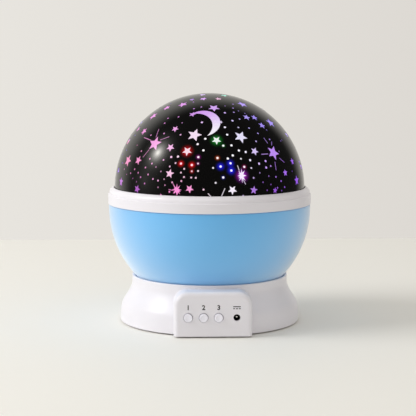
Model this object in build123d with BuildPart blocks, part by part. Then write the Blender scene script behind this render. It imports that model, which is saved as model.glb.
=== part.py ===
# Star night light projector: a flared base with a control box in front, a bowl that turns
# on the base, a trim ring and a lift-off dome with star windows.
# Millimetres, +Z up.  The origin is on the standing plane at the turning axis, and the
# control box faces -Y.
from build123d import *
from math import atan, cos, pi, radians, sin, sqrt
import os

os.makedirs("parts", exist_ok=True)

# Clearances
turning_gap = 0.4  # between the turning bowl and the base that cups it
loose_gap = 0.3  # between neighbours that move against each other without bearing
running_gap = 0.08  # radial, a shaft or pin in its bore
fit_gap = 0.1  # radial, a piece pushed into its seat
screw_gap = 0.05  # radial, a screw in its pilot hole

# Dome and its star skin
dome_radius = 60.5
dome_sink = 1.1  # the dome's rim below the top of the ring
dome_wall = 1.6
skin_thickness = 0.5
skin_gap = 0.1
dome_skirt = 5.7
lock_peg_radius = 1.2
lock_peg_count = 3
lock_peg_drop = 1.2  # from the dome's rim down to the pegs
lock_first_angle = 30
lock_turn = 9  # degrees that the dome twists to lock

# Trim ring
ring_wall = 3.7
ring_rise = 2.7  # its lower edge above the widest part of the bowl
ring_band_height = 6.2
ring_lip_height = 4.0
ring_step = 0.7
ring_lip = 0.6
ring_lip_bulge = 0.7
ring_overhang = 0.4  # how far it stands out over the bowl
ring_edge = 0.5
ring_reveal = 0.5  # shadow gap between the ring and the bowl
ring_skirt_depth = 5.1
ring_skirt_wall = 1.6
ring_ledge_thickness = 1.5
ring_ledge_width = 8.4
hook_count = 6
hook_arc = 12
hook_height = 2.0
hook_reach = 0.7

# Bowl
bowl_floor_margin = 1.3  # flat floor outside the ring gear
bowl_wall = 2.2
bowl_floor_thickness = 2.4
bowl_hub_radius = 10.0
bowl_hub_height = 7.6
rib_count = 6
rib_width = 1.5
rib_height = 3.0

# Base shell
foot_stand = 0.9  # height of the base above the surface it stands on
base_wall = 2.2
base_flare = 7.5  # how far the foot stands out beyond the collar
base_edge = 0.5
skirt_height = 4.0
shoulder_inset = 1.4  # from the foot's outside
shoulder_drop = 17.3  # from the collar's top
flare_width = 2.9  # beyond the collar
flare_drop = 12.2
neck_width = 0.4
neck_drop = 7.0
collar_lip = 1.3  # thickness around the bowl's cup
collar_rise = 11.0  # above the deck
deck_thickness = 2.0

# Control box
box_width = 47.4
box_proud = 2.9  # in front of the foot
box_drop = 2.0  # below the collar's top
box_corner = 8.5
box_edge = 2.8
box_depth = 18.0
control_height = 12.4
button_places = (-15.0, -5.7, 3.4)
button_radius = 2.6
button_proud = 1.1
button_dish = 0.35
button_dish_radius = 1.8
button_stem_radius = 1.6
button_stem_length = 0.8
button_edge = 0.4
button_flange_radius = 3.7
button_flange_thickness = 0.8
button_travel = 0.5
jack_place = 14.3
jack_hole_radius = 2.1
jack_body_width = 6.4
jack_body_height = 6.2
jack_body_length = 11.0
jack_bore_radius = 1.9
jack_bore_depth = 9.5
jack_pin_radius = 0.65
jack_pin_setback = 0.6

# Control board
board_thickness = 1.6
board_setback = 6.2  # from the inner face of the front panel
board_side_gap = 1.0
board_top_gap = 2.2
board_boss_radius = 2.1
board_boss_inset = 3.1  # from the board's side
board_boss_drop = 3.0  # from the board's top
board_corner = 3.5
board_screw_radius = 1.1
board_screw_head = 2.0
board_screw_length = 6.0
switch_side = 6.0
switch_depth = 3.5
plunger_radius = 1.65
plunger_length = 2.6

# Bottom plate, feet and screws
plate_thickness = 2.0
foot_radius = 5.0
foot_recess = 0.8
foot_inset = 10.1  # from the foot's outside to the centre of a rubber foot
foot_count = 4
base_screw_inset = 11.6
base_screw_count = 4
base_screw_first_angle = 45
base_boss_radius = 3.4
base_boss_drop = 4.0  # below the collar's top, inside the cup's wall
base_screw_radius = 1.3
base_screw_head = 2.5
base_pilot_depth = 13.0
foot_edge = 0.6
base_screw_length = 10.0

# Battery bay
cell_radius = 5.25
cell_length = 43.5
cell_nub_radius = 1.9
cell_nub_length = 1.0
cell_edge = 0.6
cell_pitch = 10.9
cell_count = 4
bay_end_space = 3.2
bay_wall = 1.2
ribbon_channel = 1.8  # between the bay's roof and the deck
contact_thickness = 0.4
contact_width = 8.0
contact_height = 9.0
spring_width = 5.0
spring_height = 7.4
door_half_width = 24.7
door_gap = 0.3
door_pin_radius = 0.6
door_pin_length = 1.6
door_tab_width = 9.0
door_tab_length = 6.0
latch_screw_radius = 1.2
latch_screw_head = 2.2
latch_screw_length = 5.2
latch_boss_roof = 1.1
latch_boss_half_width = 4.0
latch_boss_length = 5.6
latch_hole_gap = 0.6  # around and above the screw, so that it swings out with the door

# Stem, washer and clip
stem_radius = 7.0
stem_bore = 5.0
stem_flange_radius = 11.0
stem_flange_height = 3.4
stem_screw_circle = 9.0
stem_screw_count = 3
stem_screw_first_angle = 90
stem_screw_radius = 0.95
stem_screw_head = 1.8
stem_screw_length = 4.4
washer_thickness = 1.0
clip_thickness = 1.2
clip_radius = 9.6
clip_groove = 0.6
clip_opening = 5.0

# Ring gear, pinion and gear motor
gear_module = 1.2
ring_teeth = 56
pinion_teeth = 12
pressure_angle = 20
tooth_thinning = 0.12  # taken off each flank for backlash
ring_addendum = 0.6
pinion_addendum = 1.0
tooth_dedendum = 1.25
tooth_root_overlap = 0.12  # how far a tooth's outline runs past its root
flank_steps = 3  # straight steps that follow each involute
ring_gear_rim = 4.5  # outside the tooth spaces
ring_gear_width = 3.7
gear_screw_inset = 1.9
gear_screw_count = 4
gear_screw_first_angle = 45
gear_screw_radius = 0.9
gear_screw_head = 1.7
gear_screw_length = 4.8
pinion_top_gap = 0.4
pinion_width = 3.4
pinion_hub_radius = 3.2
output_shaft_radius = 1.5
shaft_socket_depth = 2.0
gearbox_length = 22.0
gearbox_width = 13.0
gearbox_height = 12.0
gearbox_edge = 0.8
ear_thickness = 2.0
ear_drop = 7.0
ear_radius = 2.6
ear_screw_radius = 1.1
ear_screw_head = 2.1
ear_screw_length = 7.5
ear_side = 3.2  # side ear, beyond the gearbox
ear_side_shift = 3.1
ear_back = 3.7  # back ear, behind the gearbox
ear_back_place = 4.0
gearbox_shift = 1.0  # its middle behind the output shaft
motor_radius = 6.0
motor_flat = 5.0
motor_length = 15.0
motor_drop = 6.0

# Lamp tower, board and lamps
tower_foot_radius = 9.0
tower_foot_gap = 0.5  # above the stem's clip
tower_foot_overlap = 5.0  # how far it goes down over the stem
tower_foot_height = 11.0
tower_radius = 5.0
tower_bore = 3.5
tower_taper_height = 14.0
tower_flange_radius = 17.0
tower_flange_thickness = 2.0
tower_rise = 10.3  # above the dome's rim
lamp_board_radius = 16.0
lamp_circle = 12.0
lamp_radius = 2.5
lamp_flange_radius = 2.9
lamp_flange_height = 1.0
lamp_height = 8.6
lamp_screw_circle = 8.2
lamp_screw_count = 2
lamp_screw_angle = 45
lamp_screw_radius = 0.95
lamp_screw_head = 1.8
lamp_screw_length = 4.4

# Lamp plate inside the dome
lamp_plate_thickness = 1.6
lamp_plate_gap = 0.5
lamp_plate_hole_gap = 1.2
lamp_plate_collar_height = 3.0
lamp_plate_collar_wall = 1.5
plate_screw_inset = 2.7  # from the inner edge of the ring's ledge
plate_screw_count = 4
plate_screw_first_angle = 45
plate_screw_radius = 1.0
plate_screw_head = 1.8
plate_screw_length = 7.0
plate_boss_radius = 2.3
plate_boss_length = 8.2

# Wiring
ribbon_width = 5.0
ribbon_thickness = 0.8
ribbon_bend = 3.0
wire_radius = 0.55
wire_spacing = 1.6
wire_bend = 4.0
motor_wire_gap = 0.4  # before the first bend behind the motor
motor_wire_place = 6.0
motor_wire_turn = 10.0  # last bend, from the back of the control board
battery_wire_insets = (0.5, 11.5)  # from the control board's side
battery_wire_run = 6.0
battery_wire_turn = 9.0

screw_head_height = 1.0
screw_tip = 0.4  # chamfer at a screw's tip, as a share of its radius

# Star windows in the skin: turn from the front, height above the dome's rim (both in
# degrees on the sphere), outer radius (mm) and turn of one point from upright (degrees)
star_waist = 0.45
star_window_places = (
    (-13, 37.5, 4.1, 22),
    (20.5, 36, 3.9, 22),
    (3, 60, 3.3, 36),
    (2.7, 34, 2.7, 36),
    (-16.5, 27, 2.8, 36),
    (-29.5, 41.5, 2.2, 20),
    (-42, 31, 3.6, 15),
    (-28.5, 29, 2.5, 30),
    (-26, 13.5, 2.6, 8),
    (-13.5, 5.2, 2.4, 30),
    (11, 4.5, 2.6, 36),
    (28, 26.5, 2.5, 30),
    (43, 25, 4.1, 30),
    (17, 12.5, 2.7, 20),
    (34, 50.5, 2.4, 28),
    (43, 50, 2.4, 28),
    (45, 43.5, 2.5, 25),
    (60, 45, 3.2, 20),
    (47, 63.5, 3.0, 10),
    (-36, 61.5, 2.8, 20),
    (-56, 58, 2.7, 20),
    (-61, 49, 3.1, 20),
    (-61, 38.5, 2.7, 20),
    (-63, 20, 3.2, 15),
    (-50, 19, 2.5, 15),
    (-68, 6, 3.0, 0),
    (61, 18.5, 2.4, 0),
    (49.5, 12.5, 2.1, 0),
    (62, 7, 3.1, 0),
    (24, 4, 2.3, 10),
    (-21, 4, 2.6, 25),
    (-49, 4, 2.3, 20),
    (76, 35, 2.5, 10),
    (-80, 30, 2.7, 10),
    (77, 14, 2.6, 10),
    (-14, 72, 2.6, 15),
)
moon_turn = -4
moon_rise = 45
moon_radius = 8.7
moon_stretch = 1.2  # taller than wide, so that it looks round from in front
moon_bite_radius = 8.0
moon_bite_shift = (-2.1, -1.55)
window_depth = 2.0
skin_repeats = 2  # the print is the same on the front and the back half


def reach(radius, centre_height, height):
    # Radius of a sphere on the axis, cut at a height.
    return sqrt(radius**2 - (height - centre_height) ** 2)


# Gear train
ring_pitch = gear_module * ring_teeth / 2
pinion_pitch = gear_module * pinion_teeth / 2
pinion_place = ring_pitch - pinion_pitch
ring_gear_radius = ring_pitch + tooth_dedendum * gear_module + ring_gear_rim
gear_screw_circle = ring_gear_radius - gear_screw_inset

# Heights from the ground up: plate, cells, deck, bowl, ring and dome
plate_bottom = foot_stand
plate_top = plate_bottom + plate_thickness
cell_height = plate_top + loose_gap + cell_radius
bay_roof_bottom = cell_height + cell_radius + loose_gap
bay_roof_top = bay_roof_bottom + bay_wall
deck_bottom = bay_roof_top + ribbon_channel
deck_top = deck_bottom + deck_thickness
washer_bottom = deck_top + stem_flange_height
floor_bottom = washer_bottom + washer_thickness
floor_top = floor_bottom + bowl_floor_thickness
hub_top = floor_bottom + bowl_hub_height
clip_bottom = hub_top + loose_gap
tower_foot_bottom = clip_bottom + clip_thickness + tower_foot_gap
tower_foot_top = tower_foot_bottom + tower_foot_height
tower_neck_height = tower_foot_top + tower_taper_height
stem_top = tower_foot_bottom + tower_foot_overlap
ring_bore = dome_radius + turning_gap
ring_radius = ring_bore + ring_wall
bowl_radius = ring_radius - ring_overhang
bowl_floor_radius = ring_gear_radius + bowl_floor_margin
bowl_centre_height = floor_bottom + sqrt(bowl_radius**2 - bowl_floor_radius**2)
ring_bottom = bowl_centre_height + ring_rise
ring_band_top = ring_bottom + ring_band_height
ring_top = ring_band_top + ring_lip_height
dome_centre_height = ring_top - dome_sink
seat_height = dome_centre_height - dome_skirt
tower_top = dome_centre_height + tower_rise
lamp_board_bottom = tower_top
lamp_board_top = lamp_board_bottom + board_thickness

# Ring, dome and lamp plate
shell_radius = dome_radius - skin_thickness - skin_gap
shell_inside = shell_radius - dome_wall
skirt_outside = reach(bowl_radius - bowl_wall, bowl_centre_height, ring_bottom) - fit_gap
ring_ledge_radius = ring_bore - ring_ledge_width
plate_screw_circle = ring_ledge_radius + plate_screw_inset
plate_boss_bottom = seat_height - plate_boss_length
lock_peg_height = dome_centre_height - lock_peg_radius - lock_peg_drop

# Base and its cup
collar_height = deck_top + collar_rise
cup_radius = bowl_radius + turning_gap
cup_floor_radius = reach(cup_radius, bowl_centre_height, floor_bottom)
cup_rim = reach(cup_radius, bowl_centre_height, collar_height)
collar_radius = cup_rim + collar_lip
base_radius = collar_radius + base_flare
base_screw_circle = base_radius - base_screw_inset
foot_circle = base_radius - foot_inset
base_boss_top = collar_height - base_boss_drop

# Control box and board
box_front = base_radius + box_proud
box_top = collar_height - box_drop
panel_inside = box_front - base_wall
board_front = panel_inside - board_setback
board_back = board_front - board_thickness
board_half_width = box_width / 2 - base_wall - board_side_gap
board_top = box_top - base_wall - board_top_gap
board_boss_place = board_half_width - board_boss_inset
board_boss_height = board_top - board_boss_drop

# Gear motor, and the battery bay in front of it
gearbox_place = pinion_place + gearbox_shift
gearbox_bottom = deck_bottom - gearbox_height
ear_top = deck_bottom - ear_drop
ear_places = (
    (-(gearbox_length / 2 + ear_side), gearbox_place + ear_side_shift),
    (ear_back_place, gearbox_place + gearbox_width / 2 + ear_back),
)
pinion_top = floor_bottom - pinion_top_gap
pinion_bottom = pinion_top - pinion_width
bay_half_length = (cell_length + cell_nub_length) / 2 + bay_end_space
bay_half_width = cell_count * cell_pitch / 2
bay_back = gearbox_place - gearbox_width / 2 - loose_gap - bay_wall
bay_shift = bay_back - bay_half_width
bay_front = bay_shift - bay_half_width
door_thickness = plate_thickness - loose_gap
hinge_height = plate_bottom + door_thickness / 2
hinge_place = bay_back - door_gap - door_thickness / 2
door_front = bay_front + door_gap
latch_hole_top = plate_bottom + screw_head_height + latch_screw_length + latch_hole_gap
front_plane = Plane.XZ.offset(box_front)


def save(piece, label):
    # Names the finished piece and writes it.
    piece.part.label = label
    export_step(piece.part, f"parts/{label}.step")


def ball_arc(radius, centre_height, low, high):
    # The side of a sphere on the axis, between two heights, as an arc of its section.
    heights = (low, (low + high) / 2, high)
    return ThreePointArc(*[(reach(radius, centre_height, height), height) for height in heights])


def flare(inset):
    # The base's side, from its upright skirt over the shoulder to the collar.
    return Spline(
        (base_radius - inset, skirt_height),
        (base_radius - shoulder_inset - inset, collar_height - shoulder_drop),
        (collar_radius + flare_width - inset, collar_height - flare_drop),
        (collar_radius + neck_width - inset, collar_height - neck_drop),
        (collar_radius - inset, collar_height),
        tangents=((0, 1), (0, 1)),
    )


def screw(shank_radius, head_radius, length):
    # Head down at the origin, shank up along +Z; the length is measured under the head.
    with BuildPart() as made:
        Cylinder(head_radius, screw_head_height, align=(Align.CENTER, Align.CENTER, Align.MIN))
        with Locations((0, 0, screw_head_height)):
            Cylinder(shank_radius, length, align=(Align.CENTER, Align.CENTER, Align.MIN))
        chamfer(made.edges().group_by(Axis.Z)[-1], shank_radius * screw_tip)
    return made.part


def involute(radius, base):
    # Polar angle that an involute has turned by, from its base circle out to a radius.
    if radius <= base:
        return 0
    turn = sqrt((radius / base) ** 2 - 1)
    return turn - atan(turn)


def tooth_outline(teeth, inner, outer, thinning):
    # One involute tooth that points along +Y, from a radius inside its root to its tip.
    pitch = gear_module * teeth / 2
    base = pitch * cos(radians(pressure_angle))
    half_at_base = pi / (2 * teeth) - thinning / pitch + involute(pitch, base)
    radii = [inner + (outer - inner) * step / flank_steps for step in range(flank_steps + 1)]
    flank = [(radius, half_at_base - involute(radius, base)) for radius in radii]
    right = [(radius * sin(half), radius * cos(half)) for radius, half in flank]
    left = [(-x, y) for x, y in reversed(right)]
    return Polyline(*right, *left, close=True)


def wire(points, height, radius, bend):
    # A round wire laid level along the points.
    with BuildPart() as made:
        with BuildLine(Plane.XY.offset(height)) as route:
            FilletPolyline(*points, radius=bend)
        with BuildSketch(Plane(origin=route.line @ 0, z_dir=route.line % 0)):
            Circle(radius)
        sweep(path=route.line)
    return made.part


# ---- base ----

# Outer form of the control box: rounded shoulders, and soft front edges except at the foot.
with BuildPart() as box_form:
    with BuildSketch(front_plane) as face:
        with Locations((0, (plate_bottom + box_top) / 2)):
            Rectangle(box_width, box_top - plate_bottom)
        fillet(face.vertices().group_by(Axis.Y)[-1], box_corner)
    extrude(amount=-box_depth)
    front_edges = box_form.faces().sort_by(Axis.Y)[0].edges().sort_by(Axis.Z)[1:]
    fillet(front_edges, box_edge)

with BuildPart() as base_shell:
    # Solid flare with the box on its front.
    with BuildSketch(Plane.XZ):
        with BuildLine():
            Polyline(
                (collar_radius, collar_height),
                (0, collar_height),
                (0, plate_bottom),
                (base_radius, plate_bottom),
                (base_radius, skirt_height),
            )
            flare(0)
        make_face()
    revolve(axis=Axis.Z)
    add(box_form.part)
    # Hollow under the walls.
    with BuildSketch(Plane.XZ):
        with BuildLine():
            Polyline(
                (collar_radius - base_wall, collar_height),
                (0, collar_height),
                (0, plate_bottom),
                (base_radius - base_wall, plate_bottom),
                (base_radius - base_wall, skirt_height),
            )
            flare(base_wall)
        make_face()
    revolve(axis=Axis.Z, mode=Mode.SUBTRACT)
    with BuildSketch(Plane.XZ.offset(panel_inside)) as inside:
        with Locations((0, (plate_bottom + box_top - base_wall) / 2)):
            Rectangle(box_width - 2 * base_wall, box_top - base_wall - plate_bottom)
        fillet(inside.vertices().group_by(Axis.Y)[-1], box_corner - base_wall)
    extrude(amount=-(box_depth - base_wall), mode=Mode.SUBTRACT)
    # Deck and cup, filled here and hollowed by the cup below.
    cup_back_radius = cup_radius + base_wall
    riser_radius = cup_floor_radius + base_wall
    cup_back_low = bowl_centre_height - sqrt(cup_back_radius**2 - riser_radius**2)
    lip_radius = collar_radius - base_wall / 2
    cup_back_high = bowl_centre_height - sqrt(cup_back_radius**2 - lip_radius**2)
    with BuildSketch(Plane.XZ):
        with BuildLine():
            Polyline(
                (lip_radius, cup_back_high),
                (lip_radius, collar_height),
                (0, collar_height),
                (0, deck_bottom),
                (riser_radius, deck_bottom),
                (riser_radius, cup_back_low),
            )
            ball_arc(cup_back_radius, bowl_centre_height, cup_back_low, cup_back_high)
        make_face()
    revolve(axis=Axis.Z)
    # Screw bosses for the bottom plate, the control board and the gearbox.
    with BuildSketch(Plane.XY.offset(plate_top)):
        with PolarLocations(base_screw_circle, base_screw_count, start_angle=base_screw_first_angle):
            Circle(base_boss_radius)
    extrude(amount=base_boss_top - plate_top)
    with BuildSketch(Plane.XZ.offset(panel_inside)):
        with Locations((-board_boss_place, board_boss_height), (board_boss_place, board_boss_height)):
            Circle(board_boss_radius)
    extrude(amount=-board_setback)
    with BuildSketch(Plane.XY.offset(ear_top)):
        with Locations(*ear_places):
            Circle(ear_radius)
    extrude(amount=ear_drop)
    # The cup that the bowl turns in, over the flat deck.
    with BuildSketch(Plane.XZ):
        with BuildLine():
            Polyline(
                (cup_rim, collar_height),
                (0, collar_height),
                (0, deck_top),
                (cup_floor_radius, deck_top),
                (cup_floor_radius, floor_bottom),
            )
            ball_arc(cup_radius, bowl_centre_height, floor_bottom, collar_height)
        make_face()
    revolve(axis=Axis.Z, mode=Mode.SUBTRACT)
    # Holes in the deck: wiring, stem screws and the pinion's hub.
    with BuildSketch(Plane.XY.offset(deck_top)):
        Circle(stem_bore)
        with PolarLocations(stem_screw_circle, stem_screw_count, start_angle=stem_screw_first_angle):
            Circle(stem_screw_radius + fit_gap)
        with Locations((0, pinion_place)):
            Circle(pinion_hub_radius + turning_gap)
    extrude(amount=-deck_thickness, mode=Mode.SUBTRACT)
    # Pilot holes.
    with BuildSketch(Plane.XY.offset(plate_top)):
        with PolarLocations(base_screw_circle, base_screw_count, start_angle=base_screw_first_angle):
            Circle(base_screw_radius + screw_gap)
    extrude(amount=base_pilot_depth, mode=Mode.SUBTRACT)
    with BuildSketch(Plane.XZ.offset(board_front)):
        with Locations((-board_boss_place, board_boss_height), (board_boss_place, board_boss_height)):
            Circle(board_screw_radius + screw_gap)
    extrude(amount=board_setback, mode=Mode.SUBTRACT)
    with BuildSketch(Plane.XY.offset(ear_top)):
        with Locations(*ear_places):
            Circle(ear_screw_radius + screw_gap)
    extrude(amount=ear_drop, mode=Mode.SUBTRACT)
    # Holes in the front panel for the buttons and the plug.
    with BuildSketch(front_plane):
        with Locations(*[(place, control_height) for place in button_places]):
            Circle(button_radius + loose_gap)
        with Locations((jack_place, control_height)):
            Circle(jack_hole_radius)
    extrude(amount=-base_wall, mode=Mode.SUBTRACT)
    collar_edges = base_shell.edges().filter_by(GeomType.CIRCLE).group_by(Axis.Z)[-1]
    fillet(collar_edges, base_edge)
save(base_shell, "base_shell")

with BuildPart() as base_plate:
    with BuildSketch(Plane.XY.offset(plate_bottom)):
        Circle(base_radius - base_wall - loose_gap)
        box_half = box_width / 2 - base_wall - loose_gap
        box_reach = panel_inside - loose_gap
        with Locations((0, -box_reach / 2)):
            Rectangle(2 * box_half, box_reach)
    extrude(amount=plate_thickness)
    # Battery bay: four walls and a roof.
    with BuildSketch(Plane.XY.offset(plate_top)):
        with Locations((0, bay_shift)):
            Rectangle(2 * (bay_half_length + bay_wall), 2 * (bay_half_width + bay_wall))
    extrude(amount=bay_roof_top - plate_top)
    with BuildSketch(Plane.XY.offset(plate_top)):
        with Locations((0, bay_shift)):
            Rectangle(2 * bay_half_length, 2 * bay_half_width)
    extrude(amount=bay_roof_bottom - plate_top, mode=Mode.SUBTRACT)
    # Latch boss in front of the bay.
    with BuildSketch(Plane.XY.offset(plate_top + loose_gap)):
        with Locations((0, bay_front - bay_wall - latch_boss_length / 2)):
            Rectangle(2 * latch_boss_half_width, latch_boss_length)
    extrude(amount=latch_hole_top + latch_boss_roof - plate_top - loose_gap)
    latch_place = door_front - door_tab_length / 2
    with BuildSketch(Plane.XY.offset(plate_top + loose_gap)):
        with Locations((0, latch_place)):
            Circle(latch_screw_radius + latch_hole_gap)
    extrude(amount=latch_hole_top - plate_top - loose_gap, mode=Mode.SUBTRACT)
    # Opening for the door and its tab.
    with BuildSketch(Plane.XY.offset(plate_bottom)):
        with Locations((0, bay_shift)):
            Rectangle(2 * (door_half_width + door_gap), 2 * bay_half_width)
        with Locations((0, door_front - (door_tab_length + door_gap) / 2)):
            Rectangle(door_tab_width + 2 * door_gap, door_tab_length + door_gap)
    extrude(amount=plate_thickness, mode=Mode.SUBTRACT)
    # Bores for the door's hinge pins.
    with BuildSketch(Plane.YZ):
        with Locations((hinge_place, hinge_height)):
            Circle(door_pin_radius + running_gap)
    extrude(amount=door_half_width + door_pin_length + fit_gap, both=True, mode=Mode.SUBTRACT)
    # Counterbored screw holes and recesses for the feet.
    with BuildSketch(Plane.XY.offset(plate_bottom)):
        with PolarLocations(base_screw_circle, base_screw_count, start_angle=base_screw_first_angle):
            Circle(base_screw_radius + fit_gap)
    extrude(amount=plate_thickness, mode=Mode.SUBTRACT)
    with BuildSketch(Plane.XY.offset(plate_bottom)):
        with PolarLocations(base_screw_circle, base_screw_count, start_angle=base_screw_first_angle):
            Circle(base_screw_head + loose_gap)
    extrude(amount=screw_head_height, mode=Mode.SUBTRACT)
    with BuildSketch(Plane.XY.offset(plate_bottom)):
        with PolarLocations(foot_circle, foot_count):
            Circle(foot_radius + fit_gap)
    extrude(amount=foot_recess, mode=Mode.SUBTRACT)
save(base_plate, "base_plate")

with BuildPart() as base_screws:
    with PolarLocations(base_screw_circle, base_screw_count, start_angle=base_screw_first_angle):
        with Locations((0, 0, plate_bottom)):
            add(screw(base_screw_radius, base_screw_head, base_screw_length))
save(base_screws, "base_screws")

with BuildPart() as rubber_feet:
    with BuildSketch():
        with PolarLocations(foot_circle, foot_count):
            Circle(foot_radius)
    extrude(amount=plate_bottom + foot_recess)
    chamfer(rubber_feet.edges().group_by(Axis.Z)[0], foot_edge)
save(rubber_feet, "rubber_feet")

# ---- batteries and their door ----

cell_tip = bay_half_length - contact_thickness - loose_gap
cell_end = cell_tip - cell_nub_length - cell_length
cell_rows = [bay_front + cell_pitch * (row + 0.5) for row in range(cell_count)]
cell_ways = [1 if row % 2 == 0 else -1 for row in range(cell_count)]

with BuildPart() as cell:
    Cylinder(cell_radius, cell_length, align=(Align.CENTER, Align.CENTER, Align.MIN))
    chamfer(cell.edges().filter_by(GeomType.CIRCLE), cell_edge)
    with Locations((0, 0, cell_length)):
        Cylinder(cell_nub_radius, cell_nub_length, align=(Align.CENTER, Align.CENTER, Align.MIN))

with BuildPart() as battery_cells:
    for row, way in zip(cell_rows, cell_ways):
        with Locations(Location((way * cell_end, row, cell_height), (0, way * 90, 0))):
            add(cell.part)
save(battery_cells, "battery_cells")

with BuildPart() as battery_contacts:
    contact_place = bay_half_length - contact_thickness / 2
    for row in cell_rows:
        with Locations((-contact_place, row, cell_height), (contact_place, row, cell_height)):
            Box(contact_thickness, contact_width, contact_height)
save(battery_contacts, "battery_contacts")

# Bowed leaf that presses on a cell's flat end, made at the -X end of the bay.
with BuildPart() as leaf:
    plate_face = -bay_half_length + contact_thickness
    leaf_crown = cell_end
    half = spring_height / 2
    inner_half = half - contact_thickness
    with BuildSketch(Plane.XZ):
        with BuildLine():
            ThreePointArc((plate_face, half), (leaf_crown, 0), (plate_face, -half))
            Line((plate_face, -half), (plate_face, -inner_half))
            ThreePointArc(
                (plate_face, -inner_half), (leaf_crown - contact_thickness, 0), (plate_face, inner_half)
            )
            Line((plate_face, inner_half), (plate_face, half))
        make_face()
    extrude(amount=spring_width / 2, both=True)

with BuildPart() as battery_springs:
    for row, way in zip(cell_rows, cell_ways):
        with Locations(Location((0, row, cell_height), (0, 0, 0 if way > 0 else 180))):
            add(leaf.part)
save(battery_springs, "battery_springs")

with BuildPart() as battery_door:
    with BuildSketch(Plane.XY.offset(plate_bottom)):
        with Locations((0, (hinge_place + door_front) / 2)):
            Rectangle(2 * door_half_width, hinge_place - door_front)
        with Locations((0, door_front - door_tab_length / 2)):
            Rectangle(door_tab_width, door_tab_length)
    extrude(amount=door_thickness)
    with Locations(Location((0, hinge_place, hinge_height), (0, 90, 0))):
        Cylinder(door_thickness / 2, 2 * door_half_width)
        Cylinder(door_pin_radius, 2 * (door_half_width + door_pin_length))
    with Locations((0, latch_place, plate_bottom)):
        Cylinder(
            latch_screw_radius + fit_gap,
            door_thickness,
            align=(Align.CENTER, Align.CENTER, Align.MIN),
            mode=Mode.SUBTRACT,
        )
        Cylinder(
            latch_screw_head + fit_gap,
            screw_head_height,
            align=(Align.CENTER, Align.CENTER, Align.MIN),
            mode=Mode.SUBTRACT,
        )
save(battery_door, "battery_door")

with BuildPart() as door_screw:
    with Locations((0, latch_place, plate_bottom)):
        add(screw(latch_screw_radius, latch_screw_head, latch_screw_length))
save(door_screw, "door_screw")

# ---- controls ----

with BuildPart() as control_board:
    with BuildSketch(Plane.XZ.offset(board_front)) as outline:
        board_bottom = plate_top + loose_gap
        with Locations((0, (board_bottom + board_top) / 2)):
            Rectangle(2 * board_half_width, board_top - board_bottom)
        fillet(outline.vertices().group_by(Axis.Y)[-1], board_corner)
        with Locations((jack_place, control_height)):
            Rectangle(
                jack_body_width + 2 * loose_gap, jack_body_height + 2 * loose_gap, mode=Mode.SUBTRACT
            )
        with Locations((-board_boss_place, board_boss_height), (board_boss_place, board_boss_height)):
            Circle(board_screw_radius + fit_gap, mode=Mode.SUBTRACT)
    extrude(amount=-board_thickness)
save(control_board, "control_board")

with BuildPart() as board_screws:
    for side in (-1, 1):
        place = (side * board_boss_place, screw_head_height - board_back, board_boss_height)
        with Locations(Location(place, (90, 0, 0))):
            add(screw(board_screw_radius, board_screw_head, board_screw_length))
save(board_screws, "board_screws")

switch_front = board_front + switch_depth
plunger_tip = panel_inside - loose_gap - button_flange_thickness - button_stem_length
with BuildPart() as switch_cases:
    with BuildSketch(Plane.XZ.offset(board_front)):
        with Locations(*[(place, control_height) for place in button_places]):
            Rectangle(switch_side, switch_side)
    extrude(amount=switch_depth)
    with BuildSketch(Plane.XZ.offset(switch_front)):
        with Locations(*[(place, control_height) for place in button_places]):
            Circle(plunger_radius + running_gap)
    well_depth = switch_front - (plunger_tip - plunger_length - button_travel) + fit_gap
    extrude(amount=-well_depth, mode=Mode.SUBTRACT)
save(switch_cases, "switch_cases")

for number, place in enumerate(button_places, 1):
    with BuildPart() as plunger:
        with BuildSketch(Plane.XZ.offset(plunger_tip)):
            with Locations((place, control_height)):
                Circle(plunger_radius)
        extrude(amount=-plunger_length)
    save(plunger, f"switch_plunger_{number}")

    flange_front = panel_inside - loose_gap
    flange_back = flange_front - button_flange_thickness
    with BuildPart() as button:
        with BuildSketch(front_plane.offset(button_proud)):
            with Locations((place, control_height)):
                Circle(button_radius)
        extrude(amount=-(box_front + button_proud - flange_front))
        fillet(button.edges().sort_by(Axis.Y)[0], button_edge)
        with BuildSketch(Plane.XZ.offset(flange_front)):
            with Locations((place, control_height)):
                Circle(button_flange_radius)
        extrude(amount=-button_flange_thickness)
        with BuildSketch(Plane.XZ.offset(flange_back)):
            with Locations((place, control_height)):
                Circle(button_stem_radius)
        extrude(amount=-(flange_back - plunger_tip))
        # Shallow dish for the fingertip.
        dish_ball = (button_dish_radius**2 + button_dish**2) / (2 * button_dish)
        dish_centre = box_front + button_proud + dish_ball - button_dish
        with Locations((place, -dish_centre, control_height)):
            Sphere(dish_ball, mode=Mode.SUBTRACT)
    save(button, f"button_{number}")

with BuildPart() as dc_jack_body:
    with BuildSketch(Plane.XZ.offset(panel_inside)):
        with Locations((jack_place, control_height)):
            Rectangle(jack_body_width, jack_body_height)
    extrude(amount=-jack_body_length)
    with BuildSketch(Plane.XZ.offset(panel_inside)):
        with Locations((jack_place, control_height)):
            Circle(jack_bore_radius)
    extrude(amount=-jack_bore_depth, mode=Mode.SUBTRACT)
save(dc_jack_body, "dc_jack_body")

with BuildPart() as dc_jack_pin:
    with BuildSketch(Plane.XZ.offset(panel_inside - jack_pin_setback)):
        with Locations((jack_place, control_height)):
            Circle(jack_pin_radius)
    extrude(amount=-(jack_bore_depth - jack_pin_setback))
    fillet(dc_jack_pin.edges().sort_by(Axis.Y)[0], jack_pin_radius / 2)
save(dc_jack_pin, "dc_jack_pin")

# ---- gear motor and drive ----

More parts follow.
